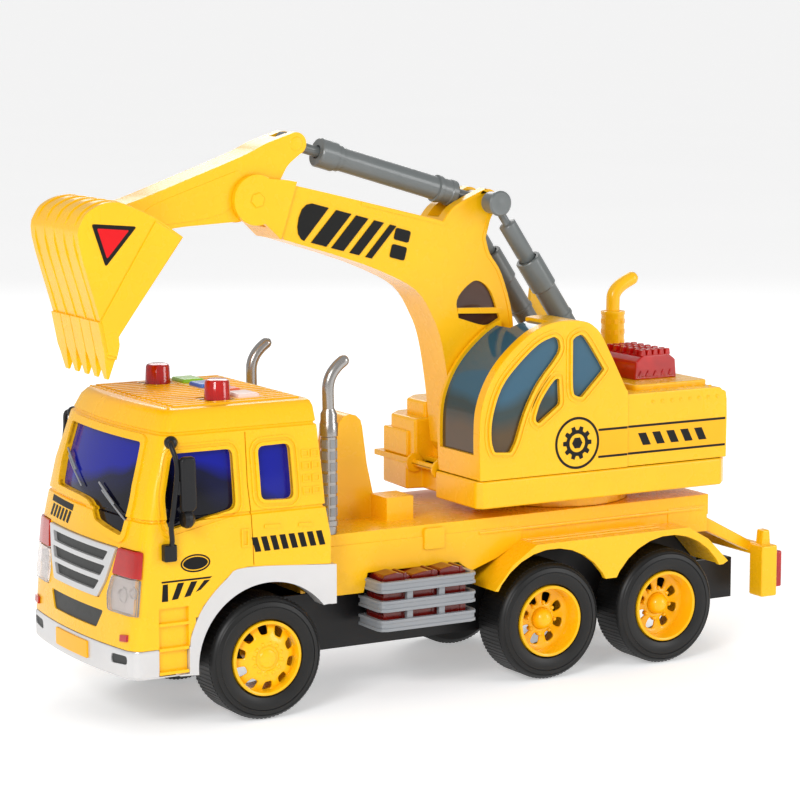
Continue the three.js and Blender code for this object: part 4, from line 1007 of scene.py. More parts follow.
side_windows = [
    [(45.8, 60.8), (16.5, 60.8), (16, 34.5), (49.3, 27.8), (50.2, 42.2)],
    [(4, 60.8), (-12, 61), (-12.9, 36.2), (3.4, 36.9)],
]
windscreen = [(-36.5, 64.5), (-36, 50), (-35, 36), (-3, 35.3), (6.7, 32.8), (13, 27.5), (25, 25.5),
              (37.6, 24), (39.5, 40), (38.2, 54), (36.5, 64.5)]
grille_shape = [(-23.4, -5), (23.4, -5), (29, 3), (35.7, 18.5), (-35.7, 18.5), (-29, 3)]
lower_grille = [(-22.8, -18.7), (22.8, -18.7), (28.1, -10.4), (-28.1, -10.4)]
headlight_shape = [(38, 19), (57, 19), (57, -9), (33, -9), (31.5, -2)]
arch_shape = [(44, -37.3), (44, -24.6), (39, -24.6), (38, -19), (32.2, -7.4), (20.9, 3.7), (10.7, 7.8),
              (-34, 4.7), (-34, -13.2), (-24, -14.6), (0, -30), (26, -37.3)]
axle_drop = -(axle_z / MM + arch_gap)
wheel_well = disc(0, axle_drop, axle_z / MM + arch_gap, 96)
FAR = 90.0
NOSE = (30.0, FAR)
LAMPS = (50.0, FAR)
FLANK = (45.0, FAR)
nose_only = [(60.5, 20), (63.4, -10), (FAR, -10), (FAR, 20)]


def lamp_solid(outline):
    """A lamp's outline in the front view, kept to the cab's nose."""
    return shared(front_prism("lamp", outline, *LAMPS, body),
                  side_prism("nose", nose_only, -FAR, FAR, body))


print("cab", len(cab_levels), "levels, from", cab_levels[0][0], "to", cab_levels[-1][0], "mm over the arch")

# %% [markdown]
# On the toy the cab is one hollow moulding with its openings cored out. It could be built wall by wall,
# but cutting a second, smaller loft out of the first keeps the wall even everywhere. The wheels' room,
# the windows, the lamps and the door seams are cut next, and the edges are rounded last.

# %% Cab shell
step_panel = [(39.5, -36.5), (53.8, -36.5), (53.8, -6.5), (39.5, -6.5)]
cab = cut(cab_loft("cab_shell", 0.0), cab_loft("room", -wall, 6.0))
cab = cut(cab, *both_sides("well", offset(arch_shape, 0.2), 46.7, FAR),
          *both_sides("tyre_room", [(-38, -45), (36, -45), (36, -12), (-38, -12)], 28, FAR),
          block("chassis_room", (-38, 40), (-28.4, 28.4), (-45, -13.6), body))
cab = cut(cab, *both_sides("openings", [rounded(w, 3.2) for w in side_windows], 30, FAR),
          front_prism("screen", rounded(curved(windscreen, 30, 3), 2.0), *NOSE, body),
          front_prism("grille_hole", offset(grille_shape, 0.3), *NOSE, body),
          front_prism("lower_hole", rounded(lower_grille, 1.5), *NOSE, body))
for _, side in SIDES:
    cab = cut(cab, lamp_solid(offset(mirrored(headlight_shape, side), 0.3)))
door_seam = [(9.2, 67.5), (9.7, 67.5), (9.9, 45), (8.6, 31), (7.6, 8.5), (7.1, 8.5), (8.1, 31), (9.4, 45)]
cab = cut(cab, *both_sides("seam", door_seam, half_width - 4.6, FAR),
          *both_sides("step_room", step_panel, half_width - 1.6, FAR))
cab = softened(cab, 0.45, 2)
placed(cab, yellow, "truck", "yellow_plastic", "cab_body")


# %% [markdown]
# Raised frames run round each window. A frame is the ring between two offsets of the window's outline,
# shared with a skin that stands a millimetre proud.

# %% Window frames and door details
def ring_prism(maker, outline, out, inside, low, high, spot=None):
    """A prism of the ring between two offsets of an outline."""
    ring = maker("ring", offset(outline, out), low, high, spot or body)
    return cut(ring, maker("hole", offset(outline, inside), low - 1, high + 1, spot or body))


def flat_frame(outline, side, wide, proud):
    return on_cab("frame", ring_prism(side_prism, outline, wide, 0.0, *across(side, 40, FAR)), proud, -1.2)


trim = []
for _, side in SIDES:
    for window in side_windows:
        smooth_window = rounded(window, 3.2)
        trim.append(flat_frame(smooth_window, side, 1.5, 0.7))
        trim.append(flat_frame(offset(smooth_window, 2.9), side, 0.9, 0.45))
screen = rounded(curved(windscreen, 30, 3), 2.0)
screen_ring = ring_prism(front_prism, screen, 3.2, 0.0, *NOSE)
trim.append(on_cab("frame", screen_ring, 0.9, -1.2))
vents = [[(x, z), (x + 4, z), (x + 4, z + 3.4), (x, z + 3.4)] for x in (-21.8, -26.6)
         for z in (37.5, 43.0, 48.5, 54.0)]
pads = [[(-6, 24), (2, 24.4), (2, 26), (-6, 25.6)], [(-22, 23.2), (-15, 23.6), (-15, 25.2), (-22, 24.8)]]
handle = [(9.6, 17), (13.6, 17), (13.6, 25), (9.6, 25)]
for _, side in SIDES:
    low, high = across(side, *FLANK)
    for vent in vents:
        trim.append(on_cab("vent", ring_prism(side_prism, vent, 0.0, -0.7, low, high), 0.4, -1.0))
    trim.append(on_cab("pads", side_prism("pads", pads, low, high, body), 0.6, -1.0))
    trim.append(on_cab("handle", ring_prism(side_prism, handle, 0.0, -1.0, low, high), 0.6, -1.0))
trim = softened(together("cab_trim", *trim), 0.18, 2, 40)
placed(trim, yellow, "truck", "yellow_plastic")

# %% [markdown]
# The driver climbs in by three steps in a recess behind the bumper's corner. They are plain boards on a
# back panel, set into the room that the shell and the bumper leave for them. The roof has fore-and-aft
# ribs, a row of beads over the windscreen and flat pads under the lamps. One rib and one bead are
# repeated by the row tree, which keeps their pitch exact.

# %% Cab steps and roof
steps = both_sides("panel", step_panel, half_width - 6, half_width - 1.7)
for _, side in SIDES:
    for z in (-14.5, -25.5, -36.0):
        steps.append(block("tread", (39.5, 53.8), across(side, half_width - 6, half_width + 0.4),
                           (z, z + 1.5), body))
steps = softened(together("cab_steps", *steps), 0.3, 2)
placed(steps, yellow, "truck", "yellow_plastic")

rib_length = 62.0
rib = block("rib", (-rib_length / 2, rib_length / 2), (-1.2, 1.2), (-0.4, 0.8), ZERO)
rib_count = 16
rib_pitch = 5.3
roof_z = body.z + cab_levels[-1][0] * MM
rib_first = (body.x + 8.0 * MM, -rib_pitch * (rib_count - 1) / 2 * MM, roof_z - 0.1 * MM)
ribs = in_row("roof_ribs", rib, yellow, rib_count, rib_first, (0, rib_pitch * MM, 0))
bead = lathe("bead", [(0, 0.5), (0.4, 0.42), (0.7, 0.1), (0.7, -0.4), (0, -0.4)], Vector((0, 0, 0)),
             (0, 0, 1), 10)
beads = in_row("roof_beads", bead, yellow, 29, (body.x + 41.5 * MM, -40.6 * MM, roof_z), (0, 2.9 * MM, 0))
pads = []
for _, side in SIDES:
    pads.append(plan_prism("pad", rounded([(4.5, side * 30.5 - 8), (20.5, side * 30.5 - 8),
                                           (20.5, side * 30.5 + 6.4), (4.5, side * 30.5 + 6.4)], 3),
                           78.2, 79.7, body))
pads.append(plan_prism("pad", rounded([(-9, -37), (6, -37), (6, 37), (-9, 37)], 2), 78.2, 79.9, body))
roof = together("roof_details", ribs, beads, *pads)
placed(softened(roof, 0.15, 1, 50), yellow, "truck", "yellow_plastic")

# %% [markdown]
# The real glazing is one clear blue moulding pushed up inside the cab. Flat sheets behind each opening
# would show gaps at the corners, so the glass is a second loft inside the cab's wall. The wipers are
# thin rods that lie on it, worked out from the same surface.

# %% Glazing and wipers
glass = cut(cab_loft("cab_windows", -2.3), cab_loft("inside", -3.8, 6.0),
            block("below", (-60, FAR), (-FAR, FAR), (-60, 20), body),
            block("above", (-60, FAR), (-FAR, FAR), (67.5, 100), body))
placed(shaded(glass, 30), cab_glass, "truck", "blue_glazing", "cab_glazing")


def on_screen(y, z):
    """A point on the windscreen, sunk a little into the cab's wall."""
    return (front_x(y, z) - 0.9, y, z)


wiper_parts = []
blade_slope = -0.42
for foot, tip in (((36.0, 30.5), (12.0, 40.0)), ((-10.0, 39.0), (-32.0, 49.0))):
    line = [on_screen(foot[0] + (tip[0] - foot[0]) * i / 4, foot[1] + (tip[1] - foot[1]) * i / 4)
            for i in range(5)]
    wiper_parts.append(rod("arm", line, 0.42, body, 8, 4))
    blade = [on_screen(tip[0] + dy, tip[1] + dy * blade_slope + dz)
             for dy, dz in ((-4, 1.2), (4, 1.2), (12, 1.0))]
    wiper_parts.append(rod("blade", blade, 0.5, body, 8, 4))
wipers = shaded(together("wipers", *wiper_parts), 40)
placed(wipers, rack_grey, "truck", "grey_plastic")

# %% [markdown]
# The grille is one silver panel with three slots cut through it and a dark sheet behind. The dark
# sheet, like the one in the lower opening, is painted shade that gives the slots depth.

# %% Grille
slots = [
    [(-27, 11.6), (26, 11.6), (29.5, 16.0), (-30, 16.0)],
    [(-25.5, 4.6), (24.5, 4.6), (28.0, 9.4), (-28.8, 9.4)],
    [(-21, -2.2), (20, -2.2), (24.0, 2.4), (-24.5, 2.4)],
]
panel = on_cab("grille_panel", front_prism("panel", rounded(grille_shape, 1.2), *NOSE, body), 1.0, -1.6)
panel = cut(panel, front_prism("slots", [rounded(slot, 1.0) for slot in slots], *NOSE, body))
placed(softened(panel, 0.4, 2), silver, "truck", "silver_paint", "grille")
# Painted shade: dark sheets behind the slots and in the lower opening stand in for the shadow inside them.
slot_shade = on_cab("grille_backing", front_prism("dark", [offset(s, 1.0) for s in slots], *NOSE, body),
                 -0.4, -1.4)
lower = on_cab("dark", front_prism("dark", rounded(offset(lower_grille, 0.6), 1.5), *NOSE, body), -0.7, -1.8)
placed(shaded(together("grille_backing", slot_shade, lower), 30), grille_dark, "truck", "black_plastic")

# %% [markdown]
# Each headlamp has a clear lower lens over two round reflectors, and a red upper one. A painted disc
# would look flat from the side, so the lenses are solid pieces of the nose's own skin, and the silver
# bowl and its rings really lie behind the clear one.

# %% Headlamps
lamp_split = 7.0
for side_name, side in SIDES:
    outline = mirrored(headlight_shape, side)
    red_shape = mirrored([(37.4, 19), (57, 19), (57, lamp_split + 0.3), (34.4, lamp_split + 0.3)], side)
    clear_shape = mirrored([(34.3, lamp_split - 0.3), (57, lamp_split - 0.3), (57, -9), (33, -9), (31.5, -2)],
                           side)
    red = on_cab("lamp_red_" + side_name, lamp_solid(rounded(red_shape, 1.2)), 0.9, -1.2)
    placed(softened(red, 0.5, 3), red_lens, "truck", "red_lens")
    clear = on_cab("lamp_clear_" + side_name, lamp_solid(rounded(clear_shape, 1.6)), 0.9, -0.4)
    placed(softened(clear, 0.35, 2), clear_lens, "truck", "clear_lens", "headlight_" + side_name)
    bowl = on_cab("bowl", lamp_solid(rounded(offset(outline, -0.3), 1.2)), -1.6, -2.6)
    rings = []
    for y, z, radius in ((41.5, -1.5, 3.6), (49.0, 0.5, 3.0)):
        start = body.point(front_x(y, z) - 2.4, side * y, z)
        profile = [(0, 0.6), (0.9, 0.7), (1.3, 0.2), (radius - 1.1, 0.3), (radius - 0.7, 1.3),
                   (radius, 1.3), (radius, -1), (0, -1)]
        rings.append(lathe("ring", profile, start, (1, side * 0.16, 0.03), 32))
    placed(shaded(together("lamp_reflector_" + side_name, bowl, *rings), 40), silver, "truck",
           "silver_paint")

# %% [markdown]
# The bumper is silver, and it runs up over the front wheel as an arch. A swept section would not take
# the arch, so it is a low loft round the nose, joined to a flat arch on each side and cut by the wheel's
# circle. Its fog lamps and the number plate are set into it; the plate carries no letters.

# %% Bumper
sill, bumper_top = -37.3, -24.6


def bumper_loft(name, grow, low, high):
    rings = [cab_ring(z, 71 - drop, -60, half_width - drop, grow) for z, drop in
             ((low, 0.9), (low + 1.4, 0.1), (high - 1, 0), (high, 0.3))]
    return lofted(name, rings)


def bumper_skin(outer, inner):
    """A thin skin of the bumper between two offsets of its loft."""
    return cut(bumper_loft("skin", outer, sill - 1, bumper_top + 1),
               bumper_loft("core", inner, sill - 4, bumper_top + 4))


bumper = cut(bumper_loft("bumper", 0, sill, bumper_top),
             bumper_loft("inside", -wall, sill - 4, bumper_top + 4),
             block("behind", (-80, 36), (-FAR, FAR), (sill - 6, bumper_top + 6), body))
bumper = joined(bumper, *both_sides("arch", curved(arch_shape, 40, 4), half_width - 8, half_width + 0.4))
bumper = cut(bumper, side_prism("well", wheel_well, -FAR, FAR, body),
             *both_sides("step_room", offset(step_panel, 0.1), half_width - 2.4, FAR),
             *both_sides("step_low", [(39.5, -38.2), (53.8, -38.2), (53.8, -35), (39.5, -35)],
                         half_width - 2.4, half_width - 1))
fog_shape = rounded([(37, -31.6), (50, -30.6), (50, -26.8), (37.5, -27.2)], 1.8)
plate_shape = rounded([(-17, -33.8), (17, -33.8), (17, -26.0), (-17, -26.0)], 0.8)
for _, side in SIDES:
    bumper = cut(bumper, cut(front_prism("fog", mirrored(fog_shape, side), *LAMPS, body),
                             bumper_loft("keep", -1.1, sill - 4, bumper_top + 4)))
placed(softened(bumper, 0.5, 2), silver, "truck", "silver_paint", "front_bumper")
fogs = [shared(front_prism("fog", mirrored(smaller(fog_shape, 0.1), side), *LAMPS, body),
               bumper_skin(-0.5, -1.6))
        for _, side in SIDES]
placed(shaded(together("fog_lamps", *fogs), 35), grille_dark, "truck", "black_plastic")
plate = shared(front_prism("plate", plate_shape, *LAMPS, body), bumper_skin(0.9, -0.4))
plate.name = "number_plate"
placed(softened(plate, 0.25, 2), print_amber, "truck", "yellow_plastic")
marker_shape = [(44.5, -21), (49.8, -20.4), (49.8, -17.4), (44.5, -18)]
markers = [on_cab("marker", front_prism("m", mirrored(marker_shape, side), *FLANK, body), 1.0, -1.0)
           for _, side in SIDES]
placed(softened(together("side_markers", *markers), 0.3, 2), red_lens, "truck", "red_lens")

# %% [markdown]
# Printed stripes are a tenth of a millimetre thick, shared with the skin like the frames. They carry no
# words: only slanted bars, a plain oval and plain blocks.

# %% Cab prints
def slanted(x, z, width, height, lean, count, pitch):
    """A row of slanted bars, as outlines."""
    return [[(x + i * pitch, z), (x + i * pitch + width, z), (x + i * pitch + width + lean, z + height),
             (x + i * pitch + lean, z + height)] for i in range(count)]


prints = []
print_skin = (0.10, -0.6)
rear_stripes = slanted(-28.5, 14.2, 2.9, 6.6, 1.9, 8, 4.6)
front_stripes = [[(49.4, -3.4), (52.4, -3.4), (51.8, 4.2), (49.4, 4.2)],
                 [(44.6, -2.8), (47.6, -3.0), (44.6, 4.2), (41.6, 4.2)],
                 [(38.6, -2.0), (41.6, -2.4), (38.2, 4.2), (35.2, 4.2)],
                 [(33.6, 0.2), (36.0, -0.6), (31.8, 4.2), (29.0, 4.2)],
                 [(29, 4.8), (52.4, 4.8), (52.4, 5.6), (28, 5.6)]]
oval = [(36.0 + 7.2 * math.cos(math.radians(10 * i)), 12.2 + 4.0 * math.sin(math.radians(10 * i)))
        for i in range(36)]
for _, side in SIDES:
    low, high = across(side, *FLANK)
    prints.append(on_cab("bars", side_prism("bars", rear_stripes + front_stripes, low, high, body),
                         *print_skin))
    prints.append(on_cab("oval", ring_prism(side_prism, oval, 0.0, -0.7, low, high), *print_skin))
    prints.append(on_cab("oval", side_prism("oval", smaller(oval, 1.2), low, high, body), *print_skin))
nose_bars = [[(y, 21.4), (y + 2.6, 21.2), (y + 4.6, 26.6), (y + 2.0, 26.8)]
             for y in (-40, -35.6, -31.2, -26.8, -22.4, -18.0)]
nose_bars.append([(-40.6, 27.6), (-12.6, 27.2), (-12.2, 30.0), (-40.4, 30.4)])
prints.append(on_cab("nose", front_prism("nose", nose_bars, *NOSE, body), *print_skin))
placed(shaded(together("cab_prints", *prints), 30), print_black, "truck", "black_plastic")


# %% [markdown]
# ## Roof lamps, buttons, mirrors and exhausts
# The beacons are clear red caps, so each is turned on the lathe from a profile that meets the axis. The
# buttons keep their CAD form, because their place matters to the springs, and only get round edges.

# %% Beacons and buttons
def make_beacon(side_name):
    low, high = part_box("beacon_" + side_name)
    foot = Vector(((low.x + high.x) / 2, (low.y + high.y) / 2, low.z))
    tall = (high.z - low.z) / MM
    dome = [(0, tall), (3.8, tall - 0.05), (5.0, tall - 0.5), (5.5, tall - 1.4), (5.9, 0.8), (6.0, 0.2),
            (5.4, 0.0), (0, 0)]
    skin = lathe("beacon_lens_" + side_name, dome, foot, (0, 0, 1), 48)
    placed(shaded(skin, 40), red_lens, "truck", "red_lens", "beacon_" + side_name)


for side_name, _ in SIDES:
    make_beacon(side_name)
for name, paint in button_paints.items():
    key = softened(from_cad("button_cap_" + name, "button_" + name), 1.3, 4)
    placed(key, paint, "button_" + name, "button_" + name, "button_" + name)

# %% [markdown]
# A mirror hangs from a long bent arm between a ball over the door and a foot under it. The arm is a rod
# along a smooth curve; the housing is a soft box, and the small round mirror under it is turned.

# %% Mirrors
mirror_arm = [(46, -2.4, 66), (47.5, 1.2, 64.5), (46.5, 4.6, 56), (48.5, 5.2, 40), (49.8, 5, 30),
              (48.5, 3, 23.5), (49, 1.6, 18)]
for side_name, side in SIDES:
    def beside(near, far):
        return across(side, half_width + near, half_width + far)

    arm = rod("arm", [(x, side * (half_width + out), z) for x, out, z in mirror_arm], 1.15, body)
    ball = lathe("ball", [(0, 3.0), (1.6, 2.6), (2.7, 1.3), (3.0, 0), (2.7, -1.3), (1.6, -2.6), (0, -3.0)],
                 body.point(45.6, side * (half_width - 3.4), 65.6), (0, side, 0), 24)
    housing = [(37.8, 38), (40, 36), (45.4, 36), (45.8, 59), (44.2, 60.4), (38.4, 60.4)]
    shell = side_prism("shell", rounded(housing, 2.2), *beside(3.2, 7.0), body)
    shell = softened(shell, 1.4, 3)
    small = lathe("small", [(0, 3.6), (2.6, 3.2), (3.9, 1.6), (4.1, 0), (3.4, -1.6), (0, -2.0)],
                  body.point(42.5, side * (half_width + 4.6), 33), (-1, 0, 0), 24)
    link_bar = block("link", (44, 48.4), beside(4.4, 5.8), (44, 50), body)
    foot = softened(block("foot", (46.2, 52.2), beside(-1.0, 3.6), (14.5, 22), body), 0.8, 3)
    whole = together("mirror_arm_" + side_name, arm, ball, shell, small, softened(link_bar, 0.4), foot)
    placed(whole, black, "truck", "black_plastic", "mirror_" + side_name)

# %% [markdown]
# Each exhaust stack is a turned silencer with two collars and a bent tail. The slots of its heat shield
# are one small dark plate repeated up the side, painted shade where the slots open.

# %% Exhausts
for side_name, side in SIDES:
    low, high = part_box("exhaust_" + side_name)
    x, y = body.x - 40 * MM, (low.y + high.y) / 2
    foot = Vector((x, y, low.z))
    silencer = [(0, 0), (3.5, 0), (3.7, 0.5), (3.7, 3.6), (4.2, 4.0), (4.2, 6.2), (3.7, 6.6), (3.7, 44.5),
                (4.2, 45.0), (4.2, 50.5), (3.8, 51.2), (3.8, 55), (3.0, 56.4), (2.8, 57.2), (0, 57.2)]
    turned = lathe("silencer", silencer, foot, (0, 0, 1), 40)
    bend = [(dx, y / MM, z) for dx, z in
            ((0, 68), (0.3, 76), (0.2, 83), (-1.4, 87.6), (-4.4, 91.2), (-7.6, 93.6))]
    tail = rod("tail", bend, 2.7, Spot(x, body.z), 20, 8)
    stack = together("exhaust_stack_" + side_name, shaded(turned, 35), shaded(tail, 60))
    placed(stack, chrome, "truck", "silver_paint", "exhaust_" + side_name)
    # Dark grey plates, a little proud of the silver, are painted shade inside the heat shield's slots.
    shape = block("slot", (3.1, 3.85), (-1.4, 1.4), (-1.9, 1.9), ZERO)
    slot_shade_rows = rows_round("slots", shape, rack_grey, range(30, 390, 60), 7,
                           (x, y, foot.z + 10.2 * MM), (0, 0, 5.2 * MM))
    slot_shade_plates = softened(together("exhaust_slots_" + side_name, *slot_shade_rows), 0.2, 1)
    placed(slot_shade_plates, rack_grey, "truck", "silver_paint")

# %% [markdown]
# ## Deck, racks and rear bar
# The deck and mudguards keep their CAD form, with rounded edges, and get a skirt along each side, the
# step along the side and the small bosses.

# %% Deck
deck = softened(from_cad("deck_shell", "bed_deck"), 0.7, 3)
placed(deck, yellow, "truck", "yellow_plastic", "bed_deck")
guard_reach = 15.0
deck_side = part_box("bed_deck")[1].y / MM - guard_reach
skirt = [(-36.8, 9.5), (-36.8, -13.6), (-56.4, -13.6), (-58.6, -4.6), (-107, -4.6), (-114, -9.5),
         (-128, -4.8), (-142, 2.4), (-142, 9.5)]
tail_skirt = [(-226, 9.5), (-226, 2.6), (-240, -3.5), (-249.6, -3.5), (-249.6, 9.5)]
boss = rounded([(-99, 3.2), (-88, 3.2), (-88, 13.2), (-99, 13.2)], 1.2)
deck_parts = [*both_sides("skirt", [skirt, tail_skirt], deck_side - wall, deck_side + 0.5),
              *both_sides("boss", boss, deck_side - 0.5, deck_side + 1.6)]
for _, side in SIDES:
    deck_parts.append(block("ledge", (-247, -118), across(side, deck_side - 0.5, deck_side + 1.1),
                            (7.4, 8.8), body))
    for near in (43.0, 48.0):
        deck_parts.append(block("line", (-216, -142), across(side, near, near + 0.8), (2.5, 3.4), body))
for i in range(3):
    deck_parts.append(block("foot", (-99 + 9 * i, -96 + 9 * i), (-22, -18), (14.0, 16.0), body))
placed(softened(together("deck_details", *deck_parts), 0.4, 2), yellow, "truck", "yellow_plastic")

# %% [markdown]
# The racks are three double slats bent round their ends, with red crates behind them. Each slat is one
# plan outline raised twice with a thinner web between, which gives the groove along its middle.

# %% Side racks
rack_low, rack_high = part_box("side_rack_left")
rear, ahead = (rack_low.x - body.x) / MM, (rack_high.x - body.x) / MM
slat_levels = (-29.7, -20.8, -12.0)
for side_name, side in SIDES:
    slats = []
    outer = half_width
    for z in slat_levels:
        ring = [(rear, 34), (rear, outer - 4), (rear + 1.2, outer - 1.2), (rear + 4, outer),
                (ahead - 4, outer), (ahead - 1.2, outer - 1.2), (ahead, outer - 4), (ahead, 34)]
        inner = [(ahead - 2.4, 34), (ahead - 2.4, outer - 4), (ahead - 4, outer - 2.4),
                 (rear + 4, outer - 2.4), (rear + 2.4, outer - 4), (rear + 2.4, 34)]
        hoop = [(px, side * py) for px, py in ring + inner]
        slats.append(plan_prism("slat", hoop, z, z + 1.5, body))
        slats.append(plan_prism("slat", hoop, z + 3.7, z + 5.2, body))
        slim = [(px, side * py) for px, py in offset(ring + inner, -0.5)]
        slats.append(plan_prism("slat", slim, z + 1.0, z + 4.2, body))
    for x in (-73.4, -90.4):
        slats.append(block("upright", (x - 1.6, x + 1.6), across(side, outer - 4.0, outer - 1.6),
                           (-29.5, -7.0), body))
    for z in slat_levels:
        slats.append(block("back", (rear + 3, ahead - 6), across(side, 28.3, 34.4),
                           (z + 1, z + 4), body))
    placed(softened(together("rack_slats_" + side_name, *slats), 0.35, 2), rack_grey, "truck",
           "grey_plastic", "side_rack_" + side_name)
    load = []
    for x, tilt in ((-98, 0.6), (-83, -0.5), (-68, 0.4)):
        low, high = across(side, 34.5, outer - 4.6)
        crate = [(x - 7, -30), (x + 7, -30), (x + 7, -5.0 + tilt), (x, -3.9 + tilt), (x - 7, -5.0 - tilt)]
        load.append(side_prism("load", rounded(crate, 1.2), low, high, body))
        load.append(block("strap", (x - 5.2, x - 3.4), across(side, 34.4, outer - 4.2), (-29.6, -3.9), body))
    placed(softened(together("rack_load_" + side_name, *load), 0.5, 2), dark_red, "truck", "red_lens")

# %% [markdown]
# The rear bar is a beam on two slanted struts, with an upright at each end that carries a lamp. Each
# length is rounded on its own before they are put together, so the inner corners stay crisp.

# %% Rear bar
rear_x = (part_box("rear_bar")[0].x - body.x) / MM
ends = [(rear_x, -38), (rear_x + 9.5, -38), (rear_x + 9.5, -12.5), (rear_x, -12.5)]
nub = [(rear_x + 2.2, -14), (rear_x + 8, -14), (rear_x + 7.2, -5), (rear_x + 3, -5)]
strut = [(rear_x + 7, -17.5), (rear_x + 7, -12), (-251, 3), (-246, 3), (-246, -2), (-251, -4)]
bar_parts = [block("beam", (rear_x + 4, rear_x + 9), (-48, 48), (-18, -12), body),
             *both_sides("end", ends, 39, 49.5), *both_sides("nub", nub, 41.5, 47),
             *both_sides("strut", strut, 33, 38)]
bar = together("rear_guard", *[softened(part, 0.9, 3) for part in bar_parts])
placed(bar, yellow, "truck", "yellow_plastic", "rear_bar")
for side_name, side in SIDES:
    lamp = softened(from_cad("tail_lens_" + side_name, "tail_lamp_" + side_name), 0.8, 3)
    placed(lamp, red_lens, "truck", "red_lens", "tail_lamp_" + side_name)

# %% [markdown]
# ## The turning house
# Cabin, engine cover and stepped side box are one hollow moulding. Three soft solids are joined, and
# then the foot, the rooms, the arm's bay, the windows and the wrapped windscreen are cut out of them in
# that order, so that every cut meets a closed solid.

# %% House shell
house_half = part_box("house_shell")[1].y / MM
boom_half = 11.0
bay = boom_half + 1
bay_wall = 24.2
foot_z = 13.3
cabin_shape = [(71, foot_z), (71.6, 32.8), (70.4, 47.5), (64.6, 61), (55.1, 72.1), (41.3, 81.9), (27.4, 85.4),
               (14.5, 84.6), (8.1, 81.6), (2.8, 75.2), (-9.3, 52.6), (-11.5, 46), (-11.5, foot_z)]
hood_shape = [(-70, foot_z), (-10, foot_z), (-10, 48), (-60, 48), (-67, 46.5), (-70, 42)]
cabin_windows = {
    "large": [(65.5, 32.2), (65, 42.8), (60.1, 56.4), (51.3, 66.4), (40, 75.4), (31.2, 78.6), (28.3, 76.6),
              (28.5, 70.3), (39.9, 57.1), (47.4, 43.6), (51.8, 31), (54.8, 25.7), (63.7, 26.4)],
    "small": [(41.7, 40), (38.6, 48.4), (31.6, 57.6), (28.4, 58.5), (27.6, 46.5), (39.7, 37.9)],
    "rear": [(20.9, 76.3), (18.3, 78), (13.8, 77), (3.2, 61.6), (3.9, 60.1), (15.4, 48.9), (18.7, 49.7),
             (20.7, 53.6)],
}
window_curves = {name: rounded(curved(points, 50, 3), 1.4, 2) for name, points in cabin_windows.items()}
cabin_curve = curved(cabin_shape, 40, 5)
hood_curve = curved(hood_shape, 50, 3)


cabin = side_prism("house_body", cabin_curve, bay, house_half, house)
cabin = softened(cabin, 1.4, 3)
hood = softened(side_prism("hood", hood_curve, -house_half + 0.8, house_half - 0.8, house), 2.6, 4)
cabin = joined(cabin, hood)
low_box = [(-11, -46), (60, -46), (68, -38), (68, -14.5), (-11, -14.5)]
mid_box = [(-11, -43), (53, -43), (61, -35), (61, -17.5), (-11, -17.5)]
pad_shape = [(28 + 15 * math.cos(math.radians(10 * i)), -27 + 8 * math.sin(math.radians(10 * i)))
             for i in range(36)]
cabin = joined(cabin, softened(plan_prism("low_box", low_box, foot_z - 0.4, 34, house), 1.4, 3),
               block("cover", (-10.6, 71.0), (-48.8, -14.8), (12.4, 15.0), house),
               softened(plan_prism("mid_box", mid_box, 33, 41.5, house), 1.6, 3),
               softened(block("panel", (60, 69.4), (-43, -20), (15.0, 27.5), house), 0.9, 3),
               softened(plan_prism("pad", pad_shape, 41, 44.4, house), 0.9, 3))
cabin = cut(cabin, block("cabin_foot", (-9.2, 69), (bay + wall, house_half - wall), (5, 20), house),
            block("hood_foot", (-67.8, -8), (-house_half + 3, house_half - 3), (5, 20), house),
            side_prism("room", smaller(cabin_curve, wall), bay + wall, house_half - wall, house),
            side_prism("under_hood", smaller(hood_curve, wall), -house_half + 3, house_half - 3, house),
            block("bay", (-12, 38), (0, bay_wall), (48.5, 100), house))
cabin = joined(cabin, shared(block("wall", (-11, 39.5), (bay_wall - 0.5, bay_wall + wall), (46, 95), house),
                             side_prism("in", smaller(cabin_curve, 0.4), bay, house_half, house)),
               shared(block("end", (37.5, 40.2), (bay, bay_wall + 2), (46, 95), house),
                      side_prism("in", smaller(cabin_curve, 0.4), bay, house_half, house)),
               block("ledge", (-11, 39), (bay, bay_wall + 2), (46, 48.6), house))
cabin = cut(cabin, side_prism("windows", list(window_curves.values()), house_half - 6, house_half + 5, house))
screen_cut = cut(block("screen", (30, 82), (bay + 2.4, house_half - 5.5), (25, 95), house),
                 side_prism("keep", smaller(cabin_curve, 3.7), bay, house_half, house))
cabin = cut(cabin, screen_cut)
cabin = softened(cabin, 0.35, 2, 40)
placed(cabin, yellow, "house", "yellow_plastic", "house_shell")

# %% [markdown]
# Two beads run round each cabin window, an inner high one and an outer low one. Behind the cabin is the
# bay where the arm turns: bearing, guard plate, front foot and the roller are simple plates and turned
# pins, because a mould would core them straight up.

# %% Cabin window beads, bay and guard
beads = []
for outline in window_curves.values():
    beads.append(ring_prism(side_prism, outline, 1.2, 0.0, house_half - 1, house_half + 0.7, house))
    beads.append(ring_prism(side_prism, outline, 3.2, 2.3, house_half - 1, house_half + 0.35, house))
shell_beads = softened(together("cabin_beads", *beads), 0.22, 2, 45)
placed(shell_beads, yellow, "house", "yellow_plastic")

